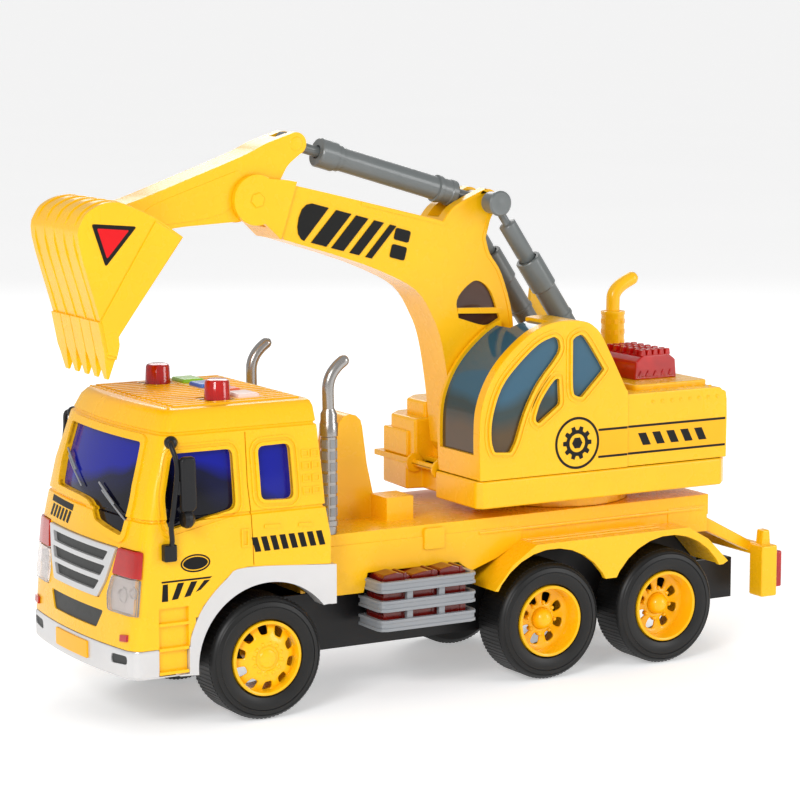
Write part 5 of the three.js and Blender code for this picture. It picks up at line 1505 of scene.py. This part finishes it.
lift_base = (-14.2, 54)
bearing = [*arc(*lift_base, 5, 0, 180, 20), (-19.7, 47), (-9.2, 47)]
guard_shape = [(-41, 47), (-24, 76), (-9.5, 95), (-6, 96), (-4, 93), (2, 47)]
bay_y = -24.2
foot_shape = [*arc(50, 28, 6.5, 0, 180, 20), (42, 13.6), (58, 13.6)]
bay_parts = [
    side_prism("bearing", bearing, -11.6, 11.6, house),
    side_prism("guard", rounded(guard_shape, 1.5), bay_y - wall, bay_y, house),
    side_prism("foot", foot_shape, -15, -11.3, house),
    block("floor", (-11, 62), (-16, bay + 1), (foot_z, foot_z + wall), house),
    lathe("trunnion", [(0, -21.4), (2, -21.4), (2, 21.4), (0, 21.4)],
          house.point(lift_base[0], 0, lift_base[1]), (0, 1, 0), 32),
    lathe("roller", [(0, -15), (4.6, -15), (4.6, -13.4), (1.7, -13.2), (1.7, 8.4), (4.6, 8.6), (4.6, 10.2),
                     (0, 10.2)], house.point(68.6, 0, 13.0), (0, 1, 0), 32),
]
placed(softened(together("house_bay", *bay_parts), 0.35, 2, 40), yellow, "house", "yellow_plastic")

# %% [markdown]
# The tray that the house stands on keeps its CAD form, with its edges rounded like a moulding's.

# %% House base
base = softened(from_cad("house_tray", "house_base"), 2.2, 4)
placed(base, yellow, "house", "yellow_plastic", "house_base")

# %% [markdown]
# A low platform lies on the engine cover, with a row of rivets beside it, another along the band, and
# louvres at the back. Each rivet is a small turned cap with a few dozen faces, repeated by the row tree.

# %% Hood platform, rivets and rear louvres
platform_shape = rounded([(-65, -30), (-22, -30), (-22, 40), (-65, 40)], 3)
platform = softened(plan_prism("platform", platform_shape, 47.5, 50.6, house), 0.8, 3)
rivet_cap = [(0, 0.7), (0.5, 0.6), (0.9, 0.2), (1.0, -0.4), (0, -0.4)]
rivet = lathe("rivet", rivet_cap, Vector((0, 0, 0)), (0, 0, 1), 12)
side_rivet = lathe("rivet", rivet_cap, Vector((0, 0, 0)), (0, 1, 0), 12)
rivets_top = in_row("rivets", rivet, yellow, 9, tuple(house.point(-63, 44.5, 48.0)), (5.0 * MM, 0, 0))
rivets_side = in_row("rivets", side_rivet, yellow, 8, tuple(house.point(-64, 49.2, 43.5)), (5.4 * MM, 0, 0))
louvre = softened(block("louvre", (-1.0, 0.4), (-26, 26), (-0.8, 0.8), ZERO), 0.4, 2)
louvres = in_row("louvres", louvre, yellow, 4, tuple(house.point(-70.2, 0, 22)), (0, 0, 5.0 * MM))
placed(shaded(together("hood_details", platform, rivets_top, rivets_side, louvres), 40), yellow, "house",
       "yellow_plastic")

# %% [markdown]
# The cabin's smoked glazing is one liner that follows the whole cabin from inside, as on the toy.

# %% Cabin glass
pane_wall = cut(side_prism("cabin_panes", smaller(cabin_curve, 1.6), bay + 0.6, house_half - 1.4, house),
                side_prism("inside", smaller(cabin_curve, 3.0), bay + wall, house_half - 2.8, house),
                block("below", (-20, 90), (0, 60), (0, 22), house),
                block("bay", (-20, 40.4), (0, bay_wall + 2.4), (0, 100), house))
placed(shaded(pane_wall, 30), cabin_glass, "house", "smoked_glazing", "cabin_glazing")

# %% [markdown]
# The engine is a block of clear red plastic with rows of teeth. One tooth is repeated along each row.
# The chimney is a turned sleeve with a bent pipe, and five rings of small pressed marks round it, in a
# darker amber that is painted shade in the marks.

# %% Engine and chimney
engine_shape = [(-57, 50.4), (-32, 50.4), (-32.8, 59.5), (-37, 62.5), (-52, 62.5), (-56.2, 59.5)]
engine = softened(side_prism("engine_body", engine_shape, -5.4, 25.4, house), 0.8, 2)
tooth = side_prism("tooth", [(-1.5, -0.4), (1.5, -0.4), (1.1, 2.6), (-1.1, 2.6)], -1.2, 1.2, ZERO)
teeth = []
for y in (-3.6, 2.3, 8.2, 14.1, 20.0, 24.0):
    piece = link(bpy.data.objects.new("tooth", tooth.data.copy()))
    teeth.append(in_row("teeth", piece, red_lens, 5, tuple(house.point(-51.6, y, 62.4)), (3.6 * MM, 0, 0)))
bpy.data.objects.remove(tooth)
notch = side_prism("notch", [(-1.6, 0), (1.6, 0), (0, 3.0)], -0.5, 0.5, ZERO)
side_teeth = in_row("notches", notch, red_lens, 5, tuple(house.point(-53, 25.6, 52.0)), (4.4 * MM, 0, 0))
placed(softened(together("engine_teeth", engine, side_teeth, *teeth), 0.3, 2, 40), red_lens, "house",
       "red_lens", "engine_block")

chimney_foot = house.point(-50, -20, 48.2)
sleeve = lathe("sleeve", [(0, 0), (6.3, 0), (6.3, 1.2), (5.8, 1.6), (5.8, 29.0), (6.1, 29.4), (6.1, 30.8),
                          (4.2, 31.0), (3.6, 30.4), (0, 30.4)], chimney_foot, (0, 0, 1), 40)
bend = [(-50, -20, 76), (-50, -20, 83), (-50.6, -20, 87.6), (-54.4, -20, 91.6), (-61, -20, 94.8)]
pipe = rod("pipe", bend, 3.4, house, 24, 8)
placed(shaded(together("chimney_pipe", sleeve, pipe), 40), yellow, "house", "yellow_plastic", "chimney")
# The marks are flat amber patches a little darker than the yellow: painted shade in the pressed marks.
hole = block("hole", (5.5, 5.95), (-0.8, 0.8), (-1.1, 1.1), ZERO)
holes = rows_round("holes", hole, print_amber, range(0, 360, 36), 5,
                   tuple(chimney_foot + Vector((0, 0, 5 * MM))), (0, 0, 5.2 * MM))
placed(together("chimney_holes", *holes), print_amber, "house", "yellow_plastic")

# %% [markdown]
# The band along the house has two black lines and a badge at its front end. The badge is a plain
# toothed wheel with a six-sided nut in it, so it says workshop without a word or a face.

# %% House prints
band_low, band_high = 19.0, 33.0
skin_y = house_half
band_parts = []
line_wide = 1.1


def band_lines(rear):
    """The band's two edge lines, from a rear x to the badge."""
    return [[(rear, z), (5.6, z), (5.6, z + line_wide), (rear, z + line_wide)]
            for z in (band_low, band_high - line_wide)]


hood_prints = band_lines(-69) + slanted(-58, 23.0, 4.6, 6.0, 3.0, 5, 8.2)
band_parts += both_sides("lines", hood_prints, skin_y - 1.2, skin_y - 0.68, house)
band_parts.append(side_prism("lines", band_lines(-11), skin_y - 0.5, skin_y + 0.12, house))
badge = (17.6, 27.2)
badge_skin = (skin_y - 0.5, skin_y + 0.14)
badge_ring = cut(side_prism("ring", disc(*badge, 12.4, 64), *badge_skin, house),
                 side_prism("gap", disc(*badge, 11.2, 64), skin_y - 2, skin_y + 2, house))
cog = []
for i in range(10):
    middle_turn = 36 * i
    for radius, turn in ((6.2, -11), (8.0, -7), (8.0, 7), (6.2, 11)):
        angle = math.radians(middle_turn + turn)
        cog.append((badge[0] + radius * math.cos(angle), badge[1] + radius * math.sin(angle)))
wheel = cut(side_prism("cog", cog, *badge_skin, house),
            side_prism("gap", disc(*badge, 4.4, 48), skin_y - 2, skin_y + 2, house))
nut = side_prism("nut", disc(*badge, 2.9, 6), *badge_skin, house)
placed(shaded(together("house_prints", *band_parts, badge_ring, wheel, nut), 30), print_black, "house",
       "black_plastic")
film = [side_prism("film", [(rear, band_low + 1), (ahead, band_low + 1), (ahead, band_high - 1),
                            (rear, band_high - 1)], skin_y - deep, skin_y - shallow, house)
        for rear, ahead, deep, shallow in ((-11.2, 6, 0.4, -0.06), (-69, -11, 1.3, 0.74))]
placed(together("band_film", *film), print_amber, "house", "yellow_plastic")

# %% [markdown]
# ## Boom, stick and bucket
# The boom is a thick curved plate, a side outline made solid. The collar at its tip is joined on, the
# fork for the stick and the gap between the lug's ears are cut, and the window is only a pocket on each
# side, because the two halves of the mould meet in the middle there.

# %% Boom
cheek_half = boom_half + 1.4
tip = ((stick.x - boom.x) / MM, (stick.z - boom.z) / MM)
boom_lug = ((lug.x - boom.x) / MM, (lug.z - boom.z) / MM)


def from_tip(x, z):
    return (tip[0] + x, tip[1] + z)


boom_shape = [(-16, 14), *arc(0, 0, 12, 180, 350, 14), (14.5, 22), (18.4, 44.6), (23.3, 57.7), (32.8, 71.4),
              (52, 81.3), (73, 88.9), (102.1, 97.9), from_tip(-8, -9), from_tip(-12, 6), (95.8, 122.2),
              (30.5, 106.2), (18.3, 103), (11.4, 110), *arc(*boom_lug, 6.2, 70, 230, 14), (-8, 102.5),
              (-5.6, 94), (-8, 86.5), (-14.5, 76.7), (-20.6, 56.8), (-21, 36)]
collar_shape = [(104.2, 98), *arc(*tip, 11.6, -110, 125, 28), (101.9, 125.2), (95.8, 124.1)]
boom_window = curved([(10.3, 65.3), (4.5, 72), (-1.5, 74), (-8.5, 68.5), (-13.6, 55.5), (-5.6, 52.5),
                      (9.3, 56.8)], 60, 4)
boom_curve = curved(boom_shape, 33, 4)
beam = softened(side_prism("boom_beam", boom_curve, -boom_half, boom_half, boom), 1.0, 3)
collar = softened(side_prism("collar", curved(collar_shape, 35, 3), -cheek_half, cheek_half, boom), 0.8, 2)
beam = joined(beam, collar)
fork_half = 9.5
mouth = [from_tip(*p) for p in ((-27, 3.6), (-19.5, 0.6), (-9.5, -4), (-4, -17), (40, -30), (40, 40),
                                (-27, 40))]
ear_slot = [(-16, 104.4), (22, 104.4), (22, 130), (-16, 130)]
beam = cut(beam, side_prism("heel", disc(*tip, 10.6, 64), -fork_half, fork_half, boom),
           side_prism("fork", mouth, -fork_half, fork_half, boom),
           side_prism("ears", ear_slot, -5.2, 5.2, boom),
           *both_sides("pocket", boom_window, boom_half - 2.4, boom_half + 1, boom))
beam = softened(beam, 0.3, 2, 40)
placed(beam, yellow, "boom", "yellow_plastic", "boom")

# %% [markdown]
# A thin ridge follows the boom's back, a bar crosses its window and a six-sided boss sits on the collar.
# The ridge is the ring between two offsets of the boom's own outline, with its lower part cut away.

# %% Boom ridge, window bars and bosses
panel_parts = []
for _, side in SIDES:
    low, high = across(side, boom_half - 0.5, boom_half + 0.35)
    ridge = cut(side_prism("ridge", smaller(boom_curve, 0.3), low, high, boom),
                side_prism("field", smaller(boom_curve, 1.9), low - 1, high + 1, boom),
                block("front", (62, 140), (-20, 20), (-30, 140), boom),
                block("foot", (-40, 62), (-20, 20), (-30, 40), boom),
                side_prism("belly", [(0, 38), (62, 38), (62, 92), (34, 84), (8, 66)], -20, 20, boom))
    panel_parts.append(ridge)
    low, high = across(side, boom_half - 2.6, boom_half + 0.3)
    bar = [(-14.5, 60.6), (9.8, 61.6), (9.8, 59.0), (-14.5, 57.8)]
    panel_parts.append(side_prism("bar", bar, low, high, boom))
    panel_parts.append(lathe("boss", [(0, side * (cheek_half + 0.7)), (3.2, side * (cheek_half + 0.7)),
                                      (3.6, side * (cheek_half + 0.3)), (3.6, side * 8), (0, side * 8)],
                             boom.point(tip[0], 0, tip[1]), (0, 1, 0), 6))
placed(softened(together("boom_panels", *panel_parts), 0.25, 2, 40), yellow, "boom", "yellow_plastic")
# A thin dark brown sheet lies on the floor of each window pocket.
pocket_sheets = both_sides("smoke", smaller(boom_window, 0.05), boom_half - 2.9, boom_half - 1.6, boom)
placed(together("boom_window_panes", *pocket_sheets), smoke_brown, "boom", "smoked_glazing")

# %% [markdown]
# The boom's stripes lean against its own slope, so they are set out along two directions: one along the
# boom and one across it. They are plain bars and two plain tags, and carry no words.

# %% Boom prints
lean_direction = Vector((-0.955, -0.263))
up_direction = Vector((-0.263, 0.955))
stripe_start = Vector((94.8, 107.0))


def stripe_point(along, up):
    p = stripe_start + lean_direction * along + up_direction * up
    return (p.x, p.y)


stripe_set = [[stripe_point(a, u) for a, u in
               ((14.0, 8.6), (5, 8.6), (2.4, 7.4), (0.6, 4.8), (0, 0.6), (0.4, -3.6), (1.6, -6.6),
                (3.8, -8.6), (5.4, -9.0))]]
for start, width in ((15.6, 8.2), (26.6, 6.6), (36.6, 5.2), (45.4, 3.4)):
    stripe_set.append([stripe_point(start + 2.6, 8.6), stripe_point(start + 2.6 + width, 8.6),
                       stripe_point(start + width - 6.4, -9.0), stripe_point(start - 6.4, -9.0)])
tag = [stripe_point(a, u) for a, u in ((51.6, 8.0), (59.8, 8.0), (59.8, 2.4), (51.6, 2.4))]
tag_low = [stripe_point(a, u) for a, u in ((51.6, 0.2), (59.8, 0.2), (59.8, -6.2), (51.6, -6.2))]
boom_prints = both_sides("stripes", [*stripe_set, rounded(tag, 1.2), rounded(tag_low, 1.2)],
                         boom_half - 0.2, boom_half + 0.47, boom)
placed(shaded(together("boom_prints", *boom_prints), 30), print_black, "boom", "black_plastic")

# %% [markdown]
# The stick is a second plate with round ends: the heel turns in the boom's fork, the far end carries the
# bucket, and the upper end takes the arm cylinder's eye between two ears. A raised field on each side is
# the same moulding's second level.

# %% Stick
stick_half = 9.0
ear_at = (-21.6, 24.6)
bucket_end = (63.8, -8.5)
stick_shape = [*arc(0, 0, 10, 170, 290, 16), (14.9, -9.9), (39.8, -11.2), (52, -14.5),
               *arc(*bucket_end, 8.6, -100, 62, 16), (52, 3.8), (7.3, 19.3), (-6, 25),
               *arc(*ear_at, 5.2, 70, 250, 16), (-17.6, 15.2), (-14.6, 10.6)]
arm = softened(side_prism("stick_beam", curved(stick_shape, 40, 4), -stick_half, stick_half, stick), 0.9, 3)
arm = cut(arm, side_prism("ear_gap", disc(*ear_at, 8.2, 48), -3.6, 3.6, stick))
stick_extra = [
    lathe("ear_pin", [(0, -4.4), (1.4, -4.4), (1.4, 4.4), (0, 4.4)], stick.point(ear_at[0], 0, ear_at[1]),
          (0, 1, 0), 24),
    lathe("trunnion", [(0, -12.1), (1.6, -12.1), (2, -11.6), (2, 11.6), (1.6, 12.1), (0, 12.1)],
          stick.point(bucket_end[0], 0, bucket_end[1]), (0, 1, 0), 24),
]
field = [(4, 8), (8, 13.6), (50, -0.4), (54, -6), (50, -9.6), (16, -5.6)]
stick_extra += both_sides("field", curved(field, 50, 4), stick_half - 0.4, stick_half + 0.3, stick)
for _, side in SIDES:
    stick_extra.append(lathe("dimple", [(0, side * (stick_half + 0.2)), (2.6, side * (stick_half + 0.35)),
                                        (3.2, side * (stick_half + 0.1)), (3.2, side * 8), (0, side * 8)],
                             stick.point(ear_at[0], 0, ear_at[1]), (0, 1, 0), 32))
arm = together("stick_arm", softened(arm, 0.3, 2, 40), softened(together("extra", *stick_extra), 0.2, 2, 40))
placed(arm, yellow, "stick", "yellow_plastic", "stick")

# %% [markdown]
# The bucket is a folded shell, open towards the truck. Its back carries long ribs that follow the
# shell's own curve, made from the same outline pushed outwards.

# %% Bucket
bucket_half = 26.0
bucket_shape = [(-20, -5.2), (11.6, -47.5), (11.2, -51), (12.8, -57.5), (17, -56.5), (20.3, -40.2),
                (29.9, -6.4), (28, 4.3), (22.1, 9.5), (13.6, 11.5), (6, 9.6), (-6.7, 3.7)]
bucket_room = [(-35, -20), (-35, -70), (9.5, -57), (13.4, -51.5), (15.6, -48), (17.9, -40),
               (27.4, -6.5), (25.8, 3), (21.2, 7), (13.6, 9.1), (10, 8.6), (10, 25), (-35, 25)]
outer_curve = curved(bucket_shape, 45, 4)
shell = softened(side_prism("bucket_shell", outer_curve, -bucket_half, bucket_half, bucket), 1.0, 3)
room_half = bucket_half - wall
shell = cut(shell, side_prism("room", curved(bucket_room, 45, 4), -room_half, room_half, bucket))
lug_shape = [*arc(0, 0, 4.6, 150, 300, 14), (12, -1), (19, 6), (15, 10.2), (8, 10.2)]
shell = joined(shell, *both_sides("lug", lug_shape, 9.5, 12.6, bucket))
shell = softened(shell, 0.4, 2, 40)

back_line = [(17.6, -54), (20.3, -40.2), (25.2, -23), (29.9, -6.4), (28, 4.3), (22.1, 9.5), (13.6, 11.5),
             (6, 9.6), (-4, 5)]
back_closed = back_line + [(-4, -20), (10, -40)]
outward = offset(back_closed, 0.55)[:len(back_line)]
inward = smaller(back_closed, 0.8)[:len(back_line)]
rib_shape = curved(outward + inward[::-1], 60, 3)
pitch = 2 * bucket_half / 5
tooth_ys = [(i - 2) * pitch for i in range(5)]
back_ribs = [side_prism("rib", rib_shape, y - 0.55, y + 0.55, bucket) for y in tooth_ys]
side_band = [(-19.0, -5.4), (-6.4, 2.4), (20.0, -39.4), (16.9, -55.0), (13.0, -56.4), (11.5, -50.8),
             (11.9, -47.4)]
back_ribs += both_sides("band", side_band, bucket_half - 0.6, bucket_half + 0.7, bucket)
tooth_fronts = []
for y in tooth_ys:
    tooth_fronts.append([(y - 4.9, -40.4), (y - 4.9, -55), (y - 3.6, -58.5), (y - 1.7, -66.3),
                         (y + 1.7, -66.3), (y + 3.6, -58.5), (y + 4.9, -55), (y + 4.9, -40.4)])
tooth_side = [(21.3, -40.2), (18.3, -55.5), (16.0, -66.4), (15.0, -66.4), (12.8, -57.4), (13.4, -51.6),
              (17.4, -44), (18.4, -40.2)]
teeth = shared(front_prism("teeth", tooth_fronts, 5, 30, bucket),
               side_prism("wedge", tooth_side, -bucket_half - 1, bucket_half + 1, bucket))
back_ribs.append(teeth)
details = softened(together("details", *back_ribs), 0.45, 2, 35)
shell = together("bucket_scoop", shell, details)
placed(shell, yellow, "bucket", "yellow_plastic", "bucket")

# %% [markdown]
# The sign on each cheek is a red triangle in a black border. The border is one black plate, and the red
# one stands a tenth of a millimetre over it, so no part of a print is cut through another.

# %% Bucket sign
sign = [(23.1, 1.7), (3.7, -0.1), (17.3, -15.4)]
black_parts = both_sides("border", rounded(offset(sign, 0.6), 1.4), bucket_half - 0.3, bucket_half + 0.14,
                         bucket)
sign_parts = both_sides("sign", rounded(smaller(sign, 1.2), 0.8), bucket_half - 0.3, bucket_half + 0.24,
                        bucket)
placed(together("bucket_sign_border", *black_parts), print_black, "bucket", "black_plastic")
placed(together("bucket_sign", *sign_parts), print_red, "bucket", "red_lens")

# %% [markdown]
# ## Cylinders
# Each one is a rod in a barrel. The barrels are turned with their collars and seal grooves, and each
# eye is a flat disc round its pin.

# %% Lift cylinders
lift_base_point = house.point(lift_base[0], 0, lift_base[1])
lift_vector = lift_base_point - lug
lift_length = lift_vector.length / MM
lift_y = centre_of("lift_rod_left").y / MM


def eye(name, centre, radius, bore, y, half):
    ring = side_prism(name, disc(centre.x / MM, centre.z / MM, radius, 40), y - half, y + half, ZERO)
    hole = side_prism("bore", disc(centre.x / MM, centre.z / MM, bore, 32), y - half - 1, y + half + 1, ZERO)
    return softened(cut(ring, hole), 0.4, 2, 40)


for side_name, side in SIDES:
    y = side * lift_y
    start = lug + Vector((0, y * MM, 0))
    rod_profile = [(0, 3.6), (1.9, 3.6), (1.9, 11.4), (2.2, 11.9), (3.9, 12.2), (4.2, 12.6), (4.2, 30),
                   (4.0, 30.4), (4.0, 72), (0, 72)]
    thin = lathe("thin", rod_profile, start, lift_vector, 40)
    whole = together("lift_ram_" + side_name, shaded(thin, 35), eye("eye", start, 5.2, 2.35, y, 3.8))
    placed(whole, grey, "lift_rod_" + side_name, "grey_plastic", "lift_rod_" + side_name)
    foot = lift_length - 8
    barrel = [(4.6, 33), (5.9, 33), (6.2, 33.4), (6.2, 49.2), (5.7, 49.6), (5.4, 50.2), (5.4, 65.8),
              (5.8, 66.2), (5.8, 67.6), (5.2, 68.0), (5.2, foot), (3.4, foot + 1.5), (3.4, lift_length - 4),
              (0, lift_length - 4), (0, foot - 3), (4.6, foot - 3), (4.6, 33)]
    tube = lathe("tube", barrel, start, lift_vector, 40)
    end = eye("eye", start + lift_vector, 5.2, 3.45, y, 3.8)
    placed(together("lift_tube_" + side_name, shaded(tube, 35), end), grey, "lift_barrel_" + side_name,
           "grey_plastic", "lift_barrel_" + side_name)

# %% [markdown]
# The arm cylinder lies along the boom's back. Its barrel is turned with two collars at each end, its rod
# keeps the CAD form, and the bolt through the lug has a wide rounded head at each end.

# %% Arm cylinder
arm_vector = stick.point(ear_at[0], 0, ear_at[1]) - lug
barrel = [(0, 3.4), (3.2, 3.4), (3.2, 12.4), (5.6, 12.6), (6.3, 13.2), (6.3, 16.0), (5.9, 16.4),
          (5.9, 21.0), (6.5, 21.4), (6.5, 23.4), (5.6, 23.8), (5.6, 77.2), (6.2, 77.5), (6.2, 80.0),
          (6.9, 80.4), (6.9, 88.6), (6.4, 89.2), (3.2, 89.2), (3.0, 84), (3.0, 24), (0, 24)]
tube = lathe("tube", barrel, lug, arm_vector, 48)
arm_eye = eye("eye", lug, 4.9, 2.35, 0, 4.7)
placed(together("arm_tube", shaded(tube, 35), arm_eye), grey, "arm_barrel", "grey_plastic", "arm_barrel")
arm_rod = softened(from_cad("arm_ram", "arm_rod"), 0.25, 2, 50)
placed(arm_rod, grey, "arm_rod", "grey_plastic", "arm_rod")
pin_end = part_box("lug_pin")[1].y / MM
pin_head = [(1.2, pin_end - 0.3), (5.2, pin_end), (6, pin_end - 0.6), (6, pin_end - 1.4), (2, pin_end - 1.4)]
pin_profile = [(0, -pin_end), *((r, -y) for r, y in pin_head), *reversed(pin_head), (0, pin_end)]
pin = lathe("lug_bolt", pin_profile, lug, (0, 1, 0), 48)
placed(shaded(pin, 40), grey, "boom", "grey_plastic", "lug_pin")

# %% [markdown]
# The pieces inside and underneath keep their CAD form and only take their finish: chassis, hatch, motor,
# board, turntable, its keeper, the axles and the steel pins.

# %% Finishes of the CAD nodes that stay
kept = {
    "chassis": black, "battery_cover": black, "turntable_keeper": black, "friction_motor": motor_white,
    "sound_board": board_green, "turntable": yellow, "axle_front": steel, "axle_middle": steel,
    "axle_rear": steel, "boom_pin": steel, "stick_pin": steel,
}
for node, finish in kept.items():
    for material_slot in frame["nodes"][node].material_slots:
        material_slot.material = finish
    print(node, "in", finish.name, "on", len(frame["nodes"][node].material_slots), "slot")

# %% [markdown]
# ## Floor
# A wide pale disc, so large that its far edge meets the pale world without a line. It isn't part of the
# object.

# %% Floor and finish
floor = link(bpy.data.objects.new("floor", bpy.data.meshes.new("floor")))
floor_reach, floor_level = 300.0, -0.0002
edge = [(x, y, floor_level) for x, y in disc(0, 0, floor_reach, 72)]
floor.data.from_pydata(edge, [], [list(range(72))])
floor.data.materials.append(white_floor)

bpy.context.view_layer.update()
